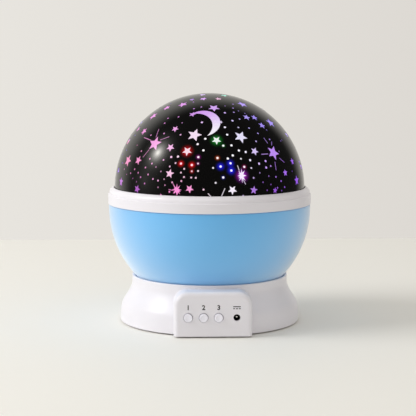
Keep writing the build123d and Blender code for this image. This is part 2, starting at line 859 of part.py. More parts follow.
with BuildPart() as gearbox_case:
    with BuildSketch(Plane.XY.offset(gearbox_bottom)) as footprint:
        with Locations((0, gearbox_place)):
            Rectangle(gearbox_length, gearbox_width)
        fillet(footprint.vertices(), gearbox_edge)
    extrude(amount=gearbox_height)
    with BuildSketch(Plane.XY.offset(ear_top)):
        for x, y in ear_places:
            with Locations((x, y)):
                Circle(ear_radius)
        with Locations((ear_places[0][0] / 2, ear_places[0][1])):
            Rectangle(-ear_places[0][0], 2 * ear_radius)
        with Locations((ear_places[1][0], (gearbox_place + ear_places[1][1]) / 2)):
            Rectangle(2 * ear_radius, ear_places[1][1] - gearbox_place)
    extrude(amount=-ear_thickness)
    with BuildSketch(Plane.XY.offset(ear_top)):
        with Locations(*ear_places):
            Circle(ear_screw_radius + fit_gap)
    extrude(amount=-ear_thickness, mode=Mode.SUBTRACT)
    with BuildSketch(Plane.XY.offset(deck_bottom)):
        with Locations((0, pinion_place)):
            Circle(output_shaft_radius + running_gap)
    extrude(amount=-(shaft_socket_depth + loose_gap), mode=Mode.SUBTRACT)
save(gearbox_case, "gearbox_case")

with BuildPart() as motor_can:
    with BuildSketch(Plane.YZ.offset(gearbox_length / 2)):
        with Locations((gearbox_place, deck_bottom - motor_drop)):
            Circle(motor_radius)
            Rectangle(2 * motor_radius, 2 * motor_flat, mode=Mode.INTERSECT)
    extrude(amount=motor_length)
save(motor_can, "motor_can")

with BuildPart() as gearbox_screws:
    with Locations(*[(x, y, ear_top - ear_thickness - screw_head_height) for x, y in ear_places]):
        add(screw(ear_screw_radius, ear_screw_head, ear_screw_length - ear_thickness))
save(gearbox_screws, "gearbox_screws")

with BuildPart() as drive_pinion:
    with BuildSketch(Plane.XY.offset(pinion_bottom)):
        with Locations((0, pinion_place)):
            Circle(pinion_pitch - tooth_dedendum * gear_module)
        with Locations((0, pinion_place)):
            with PolarLocations(0, pinion_teeth):
                with BuildLine(mode=Mode.PRIVATE) as tooth:
                    tooth_outline(
                        pinion_teeth,
                        pinion_pitch - tooth_dedendum * gear_module - tooth_root_overlap,
                        pinion_pitch + pinion_addendum * gear_module,
                        tooth_thinning,
                    )
                add(make_face(tooth.line, mode=Mode.PRIVATE))
    extrude(amount=pinion_width)
    with BuildSketch(Plane.XY.offset(pinion_bottom)):
        with Locations((0, pinion_place)):
            Circle(pinion_hub_radius)
    extrude(amount=-(pinion_bottom - deck_bottom - loose_gap))
    with BuildSketch(Plane.XY.offset(pinion_top)):
        with Locations((0, pinion_place)):
            Circle(output_shaft_radius + screw_gap)
    extrude(amount=-(pinion_top - deck_bottom), mode=Mode.SUBTRACT)
save(drive_pinion, "drive_pinion")

with BuildPart() as output_shaft:
    with BuildSketch(Plane.XY.offset(pinion_top)):
        with Locations((0, pinion_place)):
            Circle(output_shaft_radius)
    extrude(amount=-(pinion_top - deck_bottom + shaft_socket_depth))
save(output_shaft, "output_shaft")

gear_bottom = floor_bottom - ring_gear_width
with BuildPart() as ring_gear:
    with BuildSketch(Plane.XY.offset(gear_bottom)):
        Circle(ring_gear_radius)
        Circle(ring_pitch - ring_addendum * gear_module, mode=Mode.SUBTRACT)
        with PolarLocations(0, ring_teeth):
            with BuildLine(mode=Mode.PRIVATE) as space:
                tooth_outline(
                    ring_teeth,
                    ring_pitch - ring_addendum * gear_module - tooth_root_overlap,
                    ring_pitch + tooth_dedendum * gear_module,
                    -tooth_thinning,
                )
            add(make_face(space.line, mode=Mode.PRIVATE), mode=Mode.SUBTRACT)
        with PolarLocations(gear_screw_circle, gear_screw_count, start_angle=gear_screw_first_angle):
            Circle(gear_screw_radius + screw_gap, mode=Mode.SUBTRACT)
    extrude(amount=ring_gear_width)
save(ring_gear, "ring_gear")

with BuildPart() as gear_screws:
    with PolarLocations(gear_screw_circle, gear_screw_count, start_angle=gear_screw_first_angle):
        with Locations(Location((0, 0, floor_top + screw_head_height), (180, 0, 0))):
            add(screw(gear_screw_radius, gear_screw_head, gear_screw_length))
save(gear_screws, "gear_screws")

# ---- stem, washer, clip and lamp tower ----

with BuildPart() as stem_tube:
    with BuildSketch(Plane.XY.offset(deck_top)):
        Circle(stem_flange_radius)
    extrude(amount=stem_flange_height)
    with BuildSketch(Plane.XY.offset(washer_bottom)):
        Circle(stem_radius)
    extrude(amount=stem_top - washer_bottom)
    with BuildSketch(Plane.XY.offset(clip_bottom)):
        Circle(stem_radius)
        Circle(stem_radius - clip_groove, mode=Mode.SUBTRACT)
    extrude(amount=clip_thickness, mode=Mode.SUBTRACT)
    with BuildSketch(Plane.XY.offset(deck_top)):
        Circle(stem_bore)
    extrude(amount=stem_top - deck_top, mode=Mode.SUBTRACT)
    with BuildSketch(Plane.XY.offset(deck_top)):
        with PolarLocations(stem_screw_circle, stem_screw_count, start_angle=stem_screw_first_angle):
            Circle(stem_screw_radius + screw_gap)
    extrude(amount=stem_screw_length - deck_thickness + loose_gap, mode=Mode.SUBTRACT)
save(stem_tube, "stem_tube")

with BuildPart() as stem_screws:
    with PolarLocations(stem_screw_circle, stem_screw_count, start_angle=stem_screw_first_angle):
        with Locations((0, 0, deck_bottom - screw_head_height)):
            add(screw(stem_screw_radius, stem_screw_head, stem_screw_length))
save(stem_screws, "stem_screws")

with BuildPart() as thrust_washer:
    with BuildSketch(Plane.XY.offset(washer_bottom)):
        Circle(stem_flange_radius)
        Circle(stem_radius + fit_gap, mode=Mode.SUBTRACT)
    extrude(amount=washer_thickness)
save(thrust_washer, "thrust_washer")

with BuildPart() as retaining_clip:
    with BuildSketch(Plane.XY.offset(clip_bottom)):
        Circle(clip_radius)
        Circle(stem_radius - clip_groove + screw_gap, mode=Mode.SUBTRACT)
        with Locations((0, -clip_radius)):
            Rectangle(clip_opening, 2 * clip_radius, mode=Mode.SUBTRACT)
    extrude(amount=clip_thickness)
save(retaining_clip, "retaining_clip")

with BuildPart() as lamp_tower:
    with BuildSketch(Plane.XZ):
        with BuildLine():
            Polyline(
                (stem_radius + fit_gap, tower_foot_bottom),
                (tower_foot_radius, tower_foot_bottom),
                (tower_foot_radius, tower_foot_top),
                (tower_radius, tower_neck_height),
                (tower_radius, tower_top - tower_flange_thickness),
                (tower_flange_radius, tower_top - tower_flange_thickness),
                (tower_flange_radius, tower_top),
                (tower_bore, tower_top),
                (tower_bore, stem_top),
                (stem_radius + fit_gap, stem_top),
                close=True,
            )
        make_face()
    revolve(axis=Axis.Z)
    with BuildSketch(Plane.XY.offset(tower_top)):
        with PolarLocations(lamp_screw_circle, lamp_screw_count, start_angle=lamp_screw_angle):
            Circle(lamp_screw_radius + screw_gap)
    extrude(amount=-tower_flange_thickness, mode=Mode.SUBTRACT)
save(lamp_tower, "lamp_tower")

with BuildPart() as lamp_board:
    with BuildSketch(Plane.XY.offset(lamp_board_bottom)):
        Circle(lamp_board_radius)
        with PolarLocations(lamp_screw_circle, lamp_screw_count, start_angle=lamp_screw_angle):
            Circle(lamp_screw_radius + fit_gap, mode=Mode.SUBTRACT)
    extrude(amount=board_thickness)
save(lamp_board, "lamp_board")

with BuildPart() as lamp_board_screws:
    with PolarLocations(lamp_screw_circle, lamp_screw_count, start_angle=lamp_screw_angle):
        with Locations(Location((0, 0, lamp_board_top + screw_head_height), (180, 0, 0))):
            add(screw(lamp_screw_radius, lamp_screw_head, lamp_screw_length))
save(lamp_board_screws, "lamp_board_screws")

# Four round lamps stand on the board: a flange, a straight side and a domed lens.
for name, angle in (("blue", 0), ("green", 90), ("red", 180), ("white", 270)):
    with BuildPart() as lamp:
        with PolarLocations(lamp_circle, 1, start_angle=angle):
            with Locations((0, 0, lamp_board_top)):
                Cylinder(
                    lamp_flange_radius,
                    lamp_flange_height,
                    align=(Align.CENTER, Align.CENTER, Align.MIN),
                )
                Cylinder(
                    lamp_radius,
                    lamp_height - lamp_radius,
                    align=(Align.CENTER, Align.CENTER, Align.MIN),
                )
            with Locations((0, 0, lamp_board_top + lamp_height - lamp_radius)):
                Sphere(lamp_radius)
    save(lamp, f"lamp_{name}")

# ---- wiring inside the housing ----

with BuildPart() as lamp_ribbon:
    ribbon_height = (bay_roof_top + deck_bottom) / 2
    with BuildLine(Plane.YZ) as ribbon_route:
        FilletPolyline(
            (-board_back, ribbon_height),
            (0, ribbon_height),
            (0, lamp_board_bottom),
            radius=ribbon_bend,
        )
    ribbon_start = Plane(
        origin=ribbon_route.line @ 0, x_dir=(1, 0, 0), z_dir=ribbon_route.line % 0
    )
    with BuildSketch(ribbon_start):
        Rectangle(ribbon_width, ribbon_thickness)
    sweep(path=ribbon_route.line)
save(lamp_ribbon, "lamp_ribbon")

motor_back = gearbox_length / 2 + motor_length
motor_route = (
    (motor_back, gearbox_place),
    (motor_back + wire_bend + motor_wire_gap, gearbox_place),
    (motor_back + wire_bend + motor_wire_gap, bay_front),
    (motor_wire_place, motor_wire_turn - board_back),
    (motor_wire_place, -board_back),
)
with BuildPart() as motor_wires:
    for level in (-wire_spacing / 2, wire_spacing / 2):
        add(wire(motor_route, deck_bottom - motor_drop + level, wire_radius, wire_bend))
save(motor_wires, "motor_wires")

battery_wire_start = bay_front - bay_wall
bay_place, board_place = [inset - board_half_width for inset in battery_wire_insets]
battery_route = (
    (bay_place, battery_wire_start),
    (bay_place, battery_wire_start - battery_wire_run),
    (board_place, battery_wire_turn - board_back),
    (board_place, -board_back),
)
with BuildPart() as battery_wires:
    for level in (-wire_spacing / 2, wire_spacing / 2):
        add(wire(battery_route, cell_height + level, wire_radius, wire_bend))
save(battery_wires, "battery_wires")

# ---- turning head ----

with BuildPart() as bowl:
    bowl_inside = bowl_radius - bowl_wall
    reveal_height = ring_bottom - ring_reveal
    reveal_radius = reach(bowl_radius, bowl_centre_height, reveal_height)
    inner_rim = reach(bowl_inside, bowl_centre_height, ring_bottom)
    inner_floor = reach(bowl_inside, bowl_centre_height, floor_top)
    outer_floor = reach(bowl_radius, bowl_centre_height, floor_bottom)
    with BuildSketch(Plane.XZ):
        with BuildLine():
            ball_arc(bowl_radius, bowl_centre_height, floor_bottom, reveal_height)
            Polyline(
                (reveal_radius, reveal_height),
                (reveal_radius - ring_reveal, reveal_height),
                (reveal_radius - ring_reveal, ring_bottom),
                (inner_rim, ring_bottom),
            )
            ball_arc(bowl_inside, bowl_centre_height, floor_top, ring_bottom)
            Polyline(
                (inner_floor, floor_top),
                (0, floor_top),
                (0, floor_bottom),
                (outer_floor, floor_bottom),
            )
        make_face()
    revolve(axis=Axis.Z)
    # Hub on the stem, and stiffening ribs across the floor.
    with BuildSketch(Plane.XY.offset(floor_bottom)):
        Circle(bowl_hub_radius)
    extrude(amount=bowl_hub_height)
    with BuildSketch(Plane.XY.offset(floor_top)):
        rib_length = inner_floor - stem_radius
        with PolarLocations(stem_radius + rib_length / 2, rib_count):
            Rectangle(rib_length, rib_width)
    extrude(amount=rib_height)
    with BuildSketch(Plane.XY.offset(floor_bottom)):
        Circle(stem_radius + running_gap)
        with PolarLocations(gear_screw_circle, gear_screw_count, start_angle=gear_screw_first_angle):
            Circle(gear_screw_radius + fit_gap)
    extrude(amount=bowl_hub_height, mode=Mode.SUBTRACT)
    # Groove that the ring's hooks snap into.
    groove_bottom = ring_bottom - ring_skirt_depth
    with BuildSketch(Plane.XZ):
        with Locations((inner_rim, groove_bottom + hook_height / 2 + loose_gap)):
            Rectangle(2 * hook_reach, hook_height + 2 * loose_gap)
    revolve(axis=Axis.Z, mode=Mode.SUBTRACT)
save(bowl, "bowl")

# A hook on the ring's skirt, centred on the +X side.
with BuildPart() as hook:
    with BuildSketch(Plane.XZ):
        hook_bottom = ring_bottom - ring_skirt_depth + loose_gap
        with BuildLine():
            Polyline(
                (skirt_outside - ring_skirt_wall / 2, hook_bottom),
                (skirt_outside, hook_bottom),
                (skirt_outside + hook_reach, hook_bottom + hook_height / 2),
                (skirt_outside + hook_reach, hook_bottom + hook_height),
                (skirt_outside - ring_skirt_wall / 2, hook_bottom + hook_height),
                close=True,
            )
        make_face()
    revolve(axis=Axis.Z, revolution_arc=hook_arc)

with BuildPart() as trim_ring:
    lip_foot = (ring_radius - ring_step, ring_band_top)
    lip_top = (ring_bore + ring_lip, ring_top)
    with BuildSketch(Plane.XZ):
        with BuildLine():
            Polyline(
                lip_foot,
                (ring_radius - ring_edge, ring_band_top),
                (ring_radius, ring_band_top - ring_edge),
                (ring_radius, ring_bottom),
                (skirt_outside, ring_bottom),
                (skirt_outside, ring_bottom - ring_skirt_depth),
                (skirt_outside - ring_skirt_wall, ring_bottom - ring_skirt_depth),
                (skirt_outside - ring_skirt_wall, seat_height - ring_ledge_thickness),
                (ring_ledge_radius, seat_height - ring_ledge_thickness),
                (ring_ledge_radius, seat_height),
                (ring_bore, seat_height),
                (ring_bore, ring_top),
                lip_top,
            )
            SagittaArc(lip_top, lip_foot, ring_lip_bulge)
        make_face()
    revolve(axis=Axis.Z)
    with PolarLocations(0, hook_count):
        add(hook.part)
    # Bosses for the lamp plate's screws.
    with BuildSketch(Plane.XY.offset(plate_boss_bottom)):
        with PolarLocations(plate_screw_circle, plate_screw_count, start_angle=plate_screw_first_angle):
            Circle(plate_boss_radius)
    extrude(amount=seat_height - plate_boss_bottom)
    with BuildSketch(Plane.XY.offset(seat_height)):
        with PolarLocations(plate_screw_circle, plate_screw_count, start_angle=plate_screw_first_angle):
            Circle(plate_screw_radius + screw_gap)
    extrude(amount=-plate_screw_length, mode=Mode.SUBTRACT)
    # Pegs that the dome's slots lock on.
    peg_inner = dome_radius - dome_wall
    with PolarLocations(0, lock_peg_count, start_angle=lock_first_angle):
        with Locations(Location((peg_inner, 0, lock_peg_height), (0, 90, 0))):
            Cylinder(
                lock_peg_radius,
                ring_bore - peg_inner + ring_lip,
                align=(Align.CENTER, Align.CENTER, Align.MIN),
            )
save(trim_ring, "trim_ring")

with BuildPart() as lamp_plate:
    with BuildSketch(Plane.XY.offset(seat_height)):
        Circle(shell_inside - lamp_plate_gap)
    extrude(amount=lamp_plate_thickness)
    plate_hole = tower_radius + lamp_plate_hole_gap
    with BuildSketch(Plane.XY.offset(seat_height)):
        Circle(plate_hole + lamp_plate_collar_wall)
    extrude(amount=lamp_plate_thickness + lamp_plate_collar_height)
    with BuildSketch(Plane.XY.offset(seat_height)):
        Circle(plate_hole)
        with PolarLocations(plate_screw_circle, plate_screw_count, start_angle=plate_screw_first_angle):
            Circle(plate_screw_radius + fit_gap)
    extrude(amount=lamp_plate_thickness + lamp_plate_collar_height, mode=Mode.SUBTRACT)
save(lamp_plate, "lamp_plate")

plate_screw_top = seat_height + lamp_plate_thickness + screw_head_height
with BuildPart() as plate_screws:
    with PolarLocations(plate_screw_circle, plate_screw_count, start_angle=plate_screw_first_angle):
        with Locations(Location((0, 0, plate_screw_top), (180, 0, 0))):
            add(screw(plate_screw_radius, plate_screw_head, plate_screw_length))
save(plate_screws, "plate_screws")

# ---- lift-off dome ----

# A slot of the bayonet lock, centred on the +X side: in from below, then along.
with BuildPart() as lock_slot:
    slot_half = lock_peg_radius + loose_gap
    slot_centre = (dome_radius + shell_inside) / 2
    slot_depth = 2 * (dome_radius - shell_inside)
    entry_bottom = seat_height - loose_gap
    with Locations((slot_centre, 0, entry_bottom)):
        Box(
            slot_depth,
            2 * slot_half,
            lock_peg_height + slot_half - entry_bottom,
            align=(Align.CENTER, Align.CENTER, Align.MIN),
        )
    with BuildSketch(Plane.XZ):
        with Locations((slot_centre, lock_peg_height)):
            Rectangle(slot_depth, 2 * slot_half)
    revolve(axis=Axis.Z, revolution_arc=lock_turn)

with BuildPart() as dome_shell:
    with BuildSketch(Plane.XZ):
        with BuildLine():
            CenterArc((0, dome_centre_height), shell_radius, 0, 90)
            CenterArc((0, dome_centre_height), shell_inside, 0, 90)
            Line((0, dome_centre_height + shell_inside), (0, dome_centre_height + shell_radius))
            Polyline(
                (shell_radius, dome_centre_height),
                (dome_radius, dome_centre_height),
                (dome_radius, seat_height),
                (shell_inside, seat_height),
                (shell_inside, dome_centre_height),
            )
        make_face()
    revolve(axis=Axis.Z)
    with PolarLocations(0, lock_peg_count, start_angle=lock_first_angle):
        add(lock_slot.part, mode=Mode.SUBTRACT)
save(dome_shell, "dome_shell")


def skin_plane(turn, rise):
    # Plane that touches the dome, its X to the right and its Y up the dome.
    side, up = radians(turn), radians(rise)
    out = Vector(cos(up) * sin(side), -cos(up) * cos(side), sin(up))
    centre = Vector(0, 0, dome_centre_height)
    return Plane(origin=centre + out * dome_radius, x_dir=(cos(side), sin(side), 0), z_dir=out)


def star_outline(radius, turn):
    # Five-pointed star, its first point turned clockwise from upright.
    points = []
    for corner in range(10):
        length = radius if corner % 2 == 0 else radius * star_waist
        angle = radians(turn + 36 * corner)
        points.append((length * sin(angle), length * cos(angle)))
    return Polygon(*points, align=None)


# The printed skin: an opaque layer on the clear dome, open at each star and moon.
with BuildPart() as star_skin:
    skin_inside = dome_radius - skin_thickness
    with BuildSketch(Plane.XZ):
        with BuildLine():
            CenterArc((0, dome_centre_height), dome_radius, 0, 90)
            CenterArc((0, dome_centre_height), skin_inside, 0, 90)
            Line((0, dome_centre_height + skin_inside), (0, dome_centre_height + dome_radius))
            Line((skin_inside, dome_centre_height), (dome_radius, dome_centre_height))
        make_face()
    revolve(axis=Axis.Z)
    for repeat in range(skin_repeats):
        around = 360 / skin_repeats * repeat
        for turn, rise, radius, point_turn in star_window_places:
            with BuildSketch(skin_plane(turn + around, rise)):
                star_outline(radius, point_turn)
        with BuildSketch(skin_plane(moon_turn + around, moon_rise)):
            Ellipse(moon_radius, moon_radius * moon_stretch)
            with Locations((moon_bite_shift[0], moon_bite_shift[1] * moon_stretch)):
                Ellipse(moon_bite_radius, moon_bite_radius * moon_stretch, mode=Mode.SUBTRACT)
    extrude(amount=window_depth, both=True, mode=Mode.SUBTRACT)
save(star_skin, "star_skin")
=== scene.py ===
# Star night light projector: finishes, lit star print and studio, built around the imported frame.
# Blender 4.5, metres, +Z up; the control box faces -Y.
import math
import bpy
from mathutils import Matrix, Vector
from mathutils.geometry import delaunay_2d_cdt


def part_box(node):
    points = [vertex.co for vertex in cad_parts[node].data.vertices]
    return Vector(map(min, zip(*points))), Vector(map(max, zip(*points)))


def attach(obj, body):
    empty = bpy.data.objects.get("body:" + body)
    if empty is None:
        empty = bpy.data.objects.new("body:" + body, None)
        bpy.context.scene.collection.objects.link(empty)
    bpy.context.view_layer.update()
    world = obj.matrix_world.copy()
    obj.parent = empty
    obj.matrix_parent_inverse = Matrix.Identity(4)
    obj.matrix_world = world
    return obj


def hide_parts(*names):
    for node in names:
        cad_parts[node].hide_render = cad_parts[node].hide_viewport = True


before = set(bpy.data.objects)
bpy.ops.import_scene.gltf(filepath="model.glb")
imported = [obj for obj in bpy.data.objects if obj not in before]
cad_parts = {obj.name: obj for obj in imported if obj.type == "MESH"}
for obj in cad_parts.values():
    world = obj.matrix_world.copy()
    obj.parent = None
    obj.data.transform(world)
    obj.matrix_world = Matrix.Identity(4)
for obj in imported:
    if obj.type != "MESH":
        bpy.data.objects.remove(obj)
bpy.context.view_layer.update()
mm = 0.001
print("frame loaded:", len(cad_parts), "nodes")


def hexColour(code):
    # sRGB hex to the linear values that the shaders use
    parts = [int(code[i:i + 2], 16) / 255 for i in (1, 3, 5)]
    linear = [c / 12.92 if c <= 0.04045 else ((c + 0.055) / 1.055) ** 2.4 for c in parts]
    return (*linear, 1.0)


def addNode(tree, kind, inputs=None, **settings):
    # adds a node; an input is a plain value or the output socket it is fed from
    node = tree.nodes.new(kind)
    for name, value in settings.items():
        setattr(node, name, value)
    for name, value in (inputs or {}).items():
        if isinstance(value, bpy.types.NodeSocket):
            tree.links.new(value, node.inputs[name])
        else:
            node.inputs[name].default_value = value
    return node


def startMaterial(name, **sockets):
    # a material with one Principled shader; sockets are given by their names with _ for a space
    material = bpy.data.materials.new(name)
    material.use_nodes = True
    tree = material.node_tree
    shader = tree.nodes["Principled BSDF"]
    for socket, value in sockets.items():
        shader.inputs[socket.replace("_", " ")].default_value = value
    return material, tree, shader


def addPiece(name, data, *materials):
    # puts a mesh, a lamp or the camera into the scene; a mesh gets its materials in slot order
    for material in materials:
        data.materials.append(material)
    piece = bpy.data.objects.new(name, data)
    bpy.context.scene.collection.objects.link(piece)
    return piece


def driftSocket(tree, socket, low, high, patch, detail=2.0):
    # lets a socket drift from low to high over soft patches about that many metres wide
    spot = addNode(tree, "ShaderNodeTexCoord").outputs["Object"]  # the frame's metres
    clouds = {"Vector": spot, "Scale": 1 / patch, "Detail": detail}
    share = addNode(tree, "ShaderNodeTexNoise", clouds).outputs["Fac"]
    spread = addNode(tree, "ShaderNodeMapRange", {"Value": share, "To Min": low, "To Max": high})
    tree.links.new(spread.outputs["Result"], socket)


def raiseGrain(tree, shader, width, depth, strength, detail=2.0):
    # stirs the surface with a soft grain of that width and depth in metres
    spot = addNode(tree, "ShaderNodeTexCoord").outputs["Object"]
    clouds = {"Vector": spot, "Scale": 1 / width, "Detail": detail}
    height = addNode(tree, "ShaderNodeTexNoise", clouds).outputs["Fac"]
    relief = {"Height": height, "Distance": depth, "Strength": strength}
    bump = addNode(tree, "ShaderNodeBump", relief)
    tree.links.new(bump.outputs["Normal"], shader.inputs["Normal"])


def mouldedAbs(name, code, roughness, bloom=0.0):
    # glossy injection-moulded ABS: soft highlights, a faint mould ripple, gloss that drifts a
    # little, and where the colour has a milky bloom, a pale veil towards the edges
    material, tree, shader = startMaterial(
        name, Base_Color=hexColour(code), IOR=1.53, Sheen_Weight=bloom, Sheen_Roughness=0.63
    )
    gloss = shader.inputs["Roughness"]
    driftSocket(tree, gloss, roughness * 0.8, roughness * 1.2, patch=22 * mm, detail=3.0)
    raiseGrain(tree, shader, width=2.6 * mm, depth=0.012 * mm, strength=0.35)
    return material


def sparkedAbs(name, code, roughness=0.48):
    # matt plastic from a spark-eroded mould: even grain and no clear highlight; the grain is drawn
    # several times as coarse as the real one, so that it shows
    material, tree, shader = startMaterial(
        name, Base_Color=hexColour(code), Roughness=roughness, IOR=1.53
    )
    raiseGrain(tree, shader, width=0.35 * mm, depth=0.03 * mm, strength=0.5, detail=3.0)
    return material


def bareMetal(name, code, roughness, grain):
    # plated, drawn or turned metal: bright, with marks that vary its gloss, drawn coarse enough
    # to show
    material, tree, shader = startMaterial(name, Base_Color=hexColour(code), Metallic=1.0)
    gloss = shader.inputs["Roughness"]
    driftSocket(tree, gloss, roughness * 0.7, roughness * 1.4, patch=grain, detail=4.0)
    return material


def siliconeRubber(name, code):
    # moulded silicone rubber: dull and soft-looking, with a dusty grain
    material, tree, shader = startMaterial(
        name, Base_Color=hexColour(code), Roughness=0.75, IOR=1.42
    )
    raiseGrain(tree, shader, width=0.5 * mm, depth=0.05 * mm, strength=0.6, detail=4.0)
    return material


def solderMask(name):
    # glass-fibre board under green solder mask: satin, the weave just showing through
    material, tree, shader = startMaterial(name, Roughness=0.35, IOR=1.5)
    spot = addNode(tree, "ShaderNodeTexCoord").outputs["Object"]
    weave = addNode(tree, "ShaderNodeTexChecker", {
        "Vector": spot, "Scale": 1 / (0.8 * mm),
        "Color1": hexColour("#0E5A2B"), "Color2": hexColour("#116331"),
    })
    tree.links.new(weave.outputs["Color"], shader.inputs["Base Color"])
    return material


def naturalAcetal(name, code):
    # unfilled acetal gear plastic: waxy, light sinks in slightly
    material, tree, shader = startMaterial(
        name, Base_Color=hexColour(code), IOR=1.48,
        Subsurface_Weight=0.15, Subsurface_Scale=1.5 * mm,
    )
    driftSocket(tree, shader.inputs["Roughness"], 0.32, 0.46, patch=6 * mm)
    return material


def sleevePvc(name, code):
    # extruded PVC wire sleeve: satin with a slight unevenness along its length
    material, tree, shader = startMaterial(
        name, Base_Color=hexColour(code), Roughness=0.42, IOR=1.52
    )
    raiseGrain(tree, shader, width=3 * mm, depth=0.05 * mm, strength=0.3)
    return material


def litEpoxy(name, code, glow):
    # epoxy lamp lens over its chip: glows most in its dome, above the chip, under a clean gloss
    colour = hexColour(code)
    material, tree, shader = startMaterial(
        name, Base_Color=colour, Emission_Color=colour, Roughness=0.08, IOR=1.55
    )
    low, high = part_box("lamp_red")  # the four lamps stand at one height
    spot = addNode(tree, "ShaderNodeTexCoord").outputs["Object"]
    height = addNode(tree, "ShaderNodeSeparateXYZ", {"Vector": spot}).outputs["Z"]
    level = addNode(tree, "ShaderNodeMapRange", {
        "Value": height, "From Min": low.z, "From Max": high.z,
        "To Min": glow * 0.4, "To Max": glow,
    })
    tree.links.new(level.outputs["Result"], shader.inputs["Emission Strength"])
    return material


def clearPolystyrene(name):
    # clear moulded dome under the print: smooth, with faint handling haze
    material, tree, shader = startMaterial(
        name, Base_Color=hexColour("#E8EAEE"), IOR=1.59, Transmission_Weight=0.92
    )
    driftSocket(tree, shader.inputs["Roughness"], 0.03, 0.12, patch=9 * mm, detail=3.0)
    return material


whiteAbs = mouldedAbs("whiteAbsMoulded", "#E9E7EE", 0.3)
brightAbs = mouldedAbs("brightWhiteAbsMoulded", "#F5F4FF", 0.3)  # the key caps, whiter than the box
blueAbs = mouldedAbs("lightBlueAbsMoulded", "#52B5F5", 0.34, 1.0)
mattAbs = sparkedAbs("whiteAbsSparked", "#DEDEE0")
blackNylon = sparkedAbs("blackNylonMoulded", "#0B0B0C", 0.4)
boardMask = solderMask("greenSolderMask")
acetal = naturalAcetal("naturalAcetal", "#E4E2D8")
zincSteel = bareMetal("zincPlatedSteel", "#B9BBBD", 0.28, 0.6 * mm)
nickelSteel = bareMetal("nickelPlatedSteel", "#C9C4B8", 0.2, 0.8 * mm)
drawnCan = bareMetal("drawnSteelCan", "#A9ABAE", 0.34, 1.5 * mm)
turnedPin = bareMetal("nickelPlatedPin", "#E4E2DC", 0.18, 0.4 * mm)
greyRubber = siliconeRubber("greySiliconeRubber", "#B4B5B7")
redSleeve = sleevePvc("redPvcSleeve", "#A02020")
clearDome = clearPolystyrene("clearPolystyrene")

nodeFinish = {
    whiteAbs: ("base_shell", "trim_ring"),
    brightAbs: ("button_1", "button_2", "button_3"),
    blueAbs: ("bowl",),
    mattAbs: ("base_plate", "battery_door", "stem_tube", "lamp_tower", "lamp_plate"),
    blackNylon: (
        "switch_cases", "switch_plunger_1", "switch_plunger_2", "switch_plunger_3", "dc_jack_body",
    ),
    boardMask: ("control_board", "lamp_board"),
    acetal: ("gearbox_case", "drive_pinion", "ring_gear", "thrust_washer"),
    zincSteel: (
        "base_screws", "door_screw", "board_screws", "gearbox_screws", "gear_screws", "stem_screws",
        "lamp_board_screws", "plate_screws", "output_shaft",
    ),
    nickelSteel: ("battery_contacts", "battery_springs", "retaining_clip"),
    drawnCan: ("motor_can", "battery_cells"),
    turnedPin: ("dc_jack_pin",),
    greyRubber: ("rubber_feet",),
    redSleeve: ("lamp_ribbon", "motor_wires", "battery_wires"),
    clearDome: ("dome_shell",),
    litEpoxy("redLampEpoxy", "#FF2A1E", 1.6): ("lamp_red",),
    litEpoxy("greenLampEpoxy", "#2BFF6A", 1.4): ("lamp_green",),
    litEpoxy("blueLampEpoxy", "#3048FF", 1.8): ("lamp_blue",),
    litEpoxy("whiteLampEpoxy", "#FFF4E0", 1.6): ("lamp_white",),
}
for material, names in nodeFinish.items():
    for name in names:
        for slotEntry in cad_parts[name].material_slots:
            slotEntry.material = material
print("materials given to", sum(len(names) for names in nodeFinish.values()), "nodes")

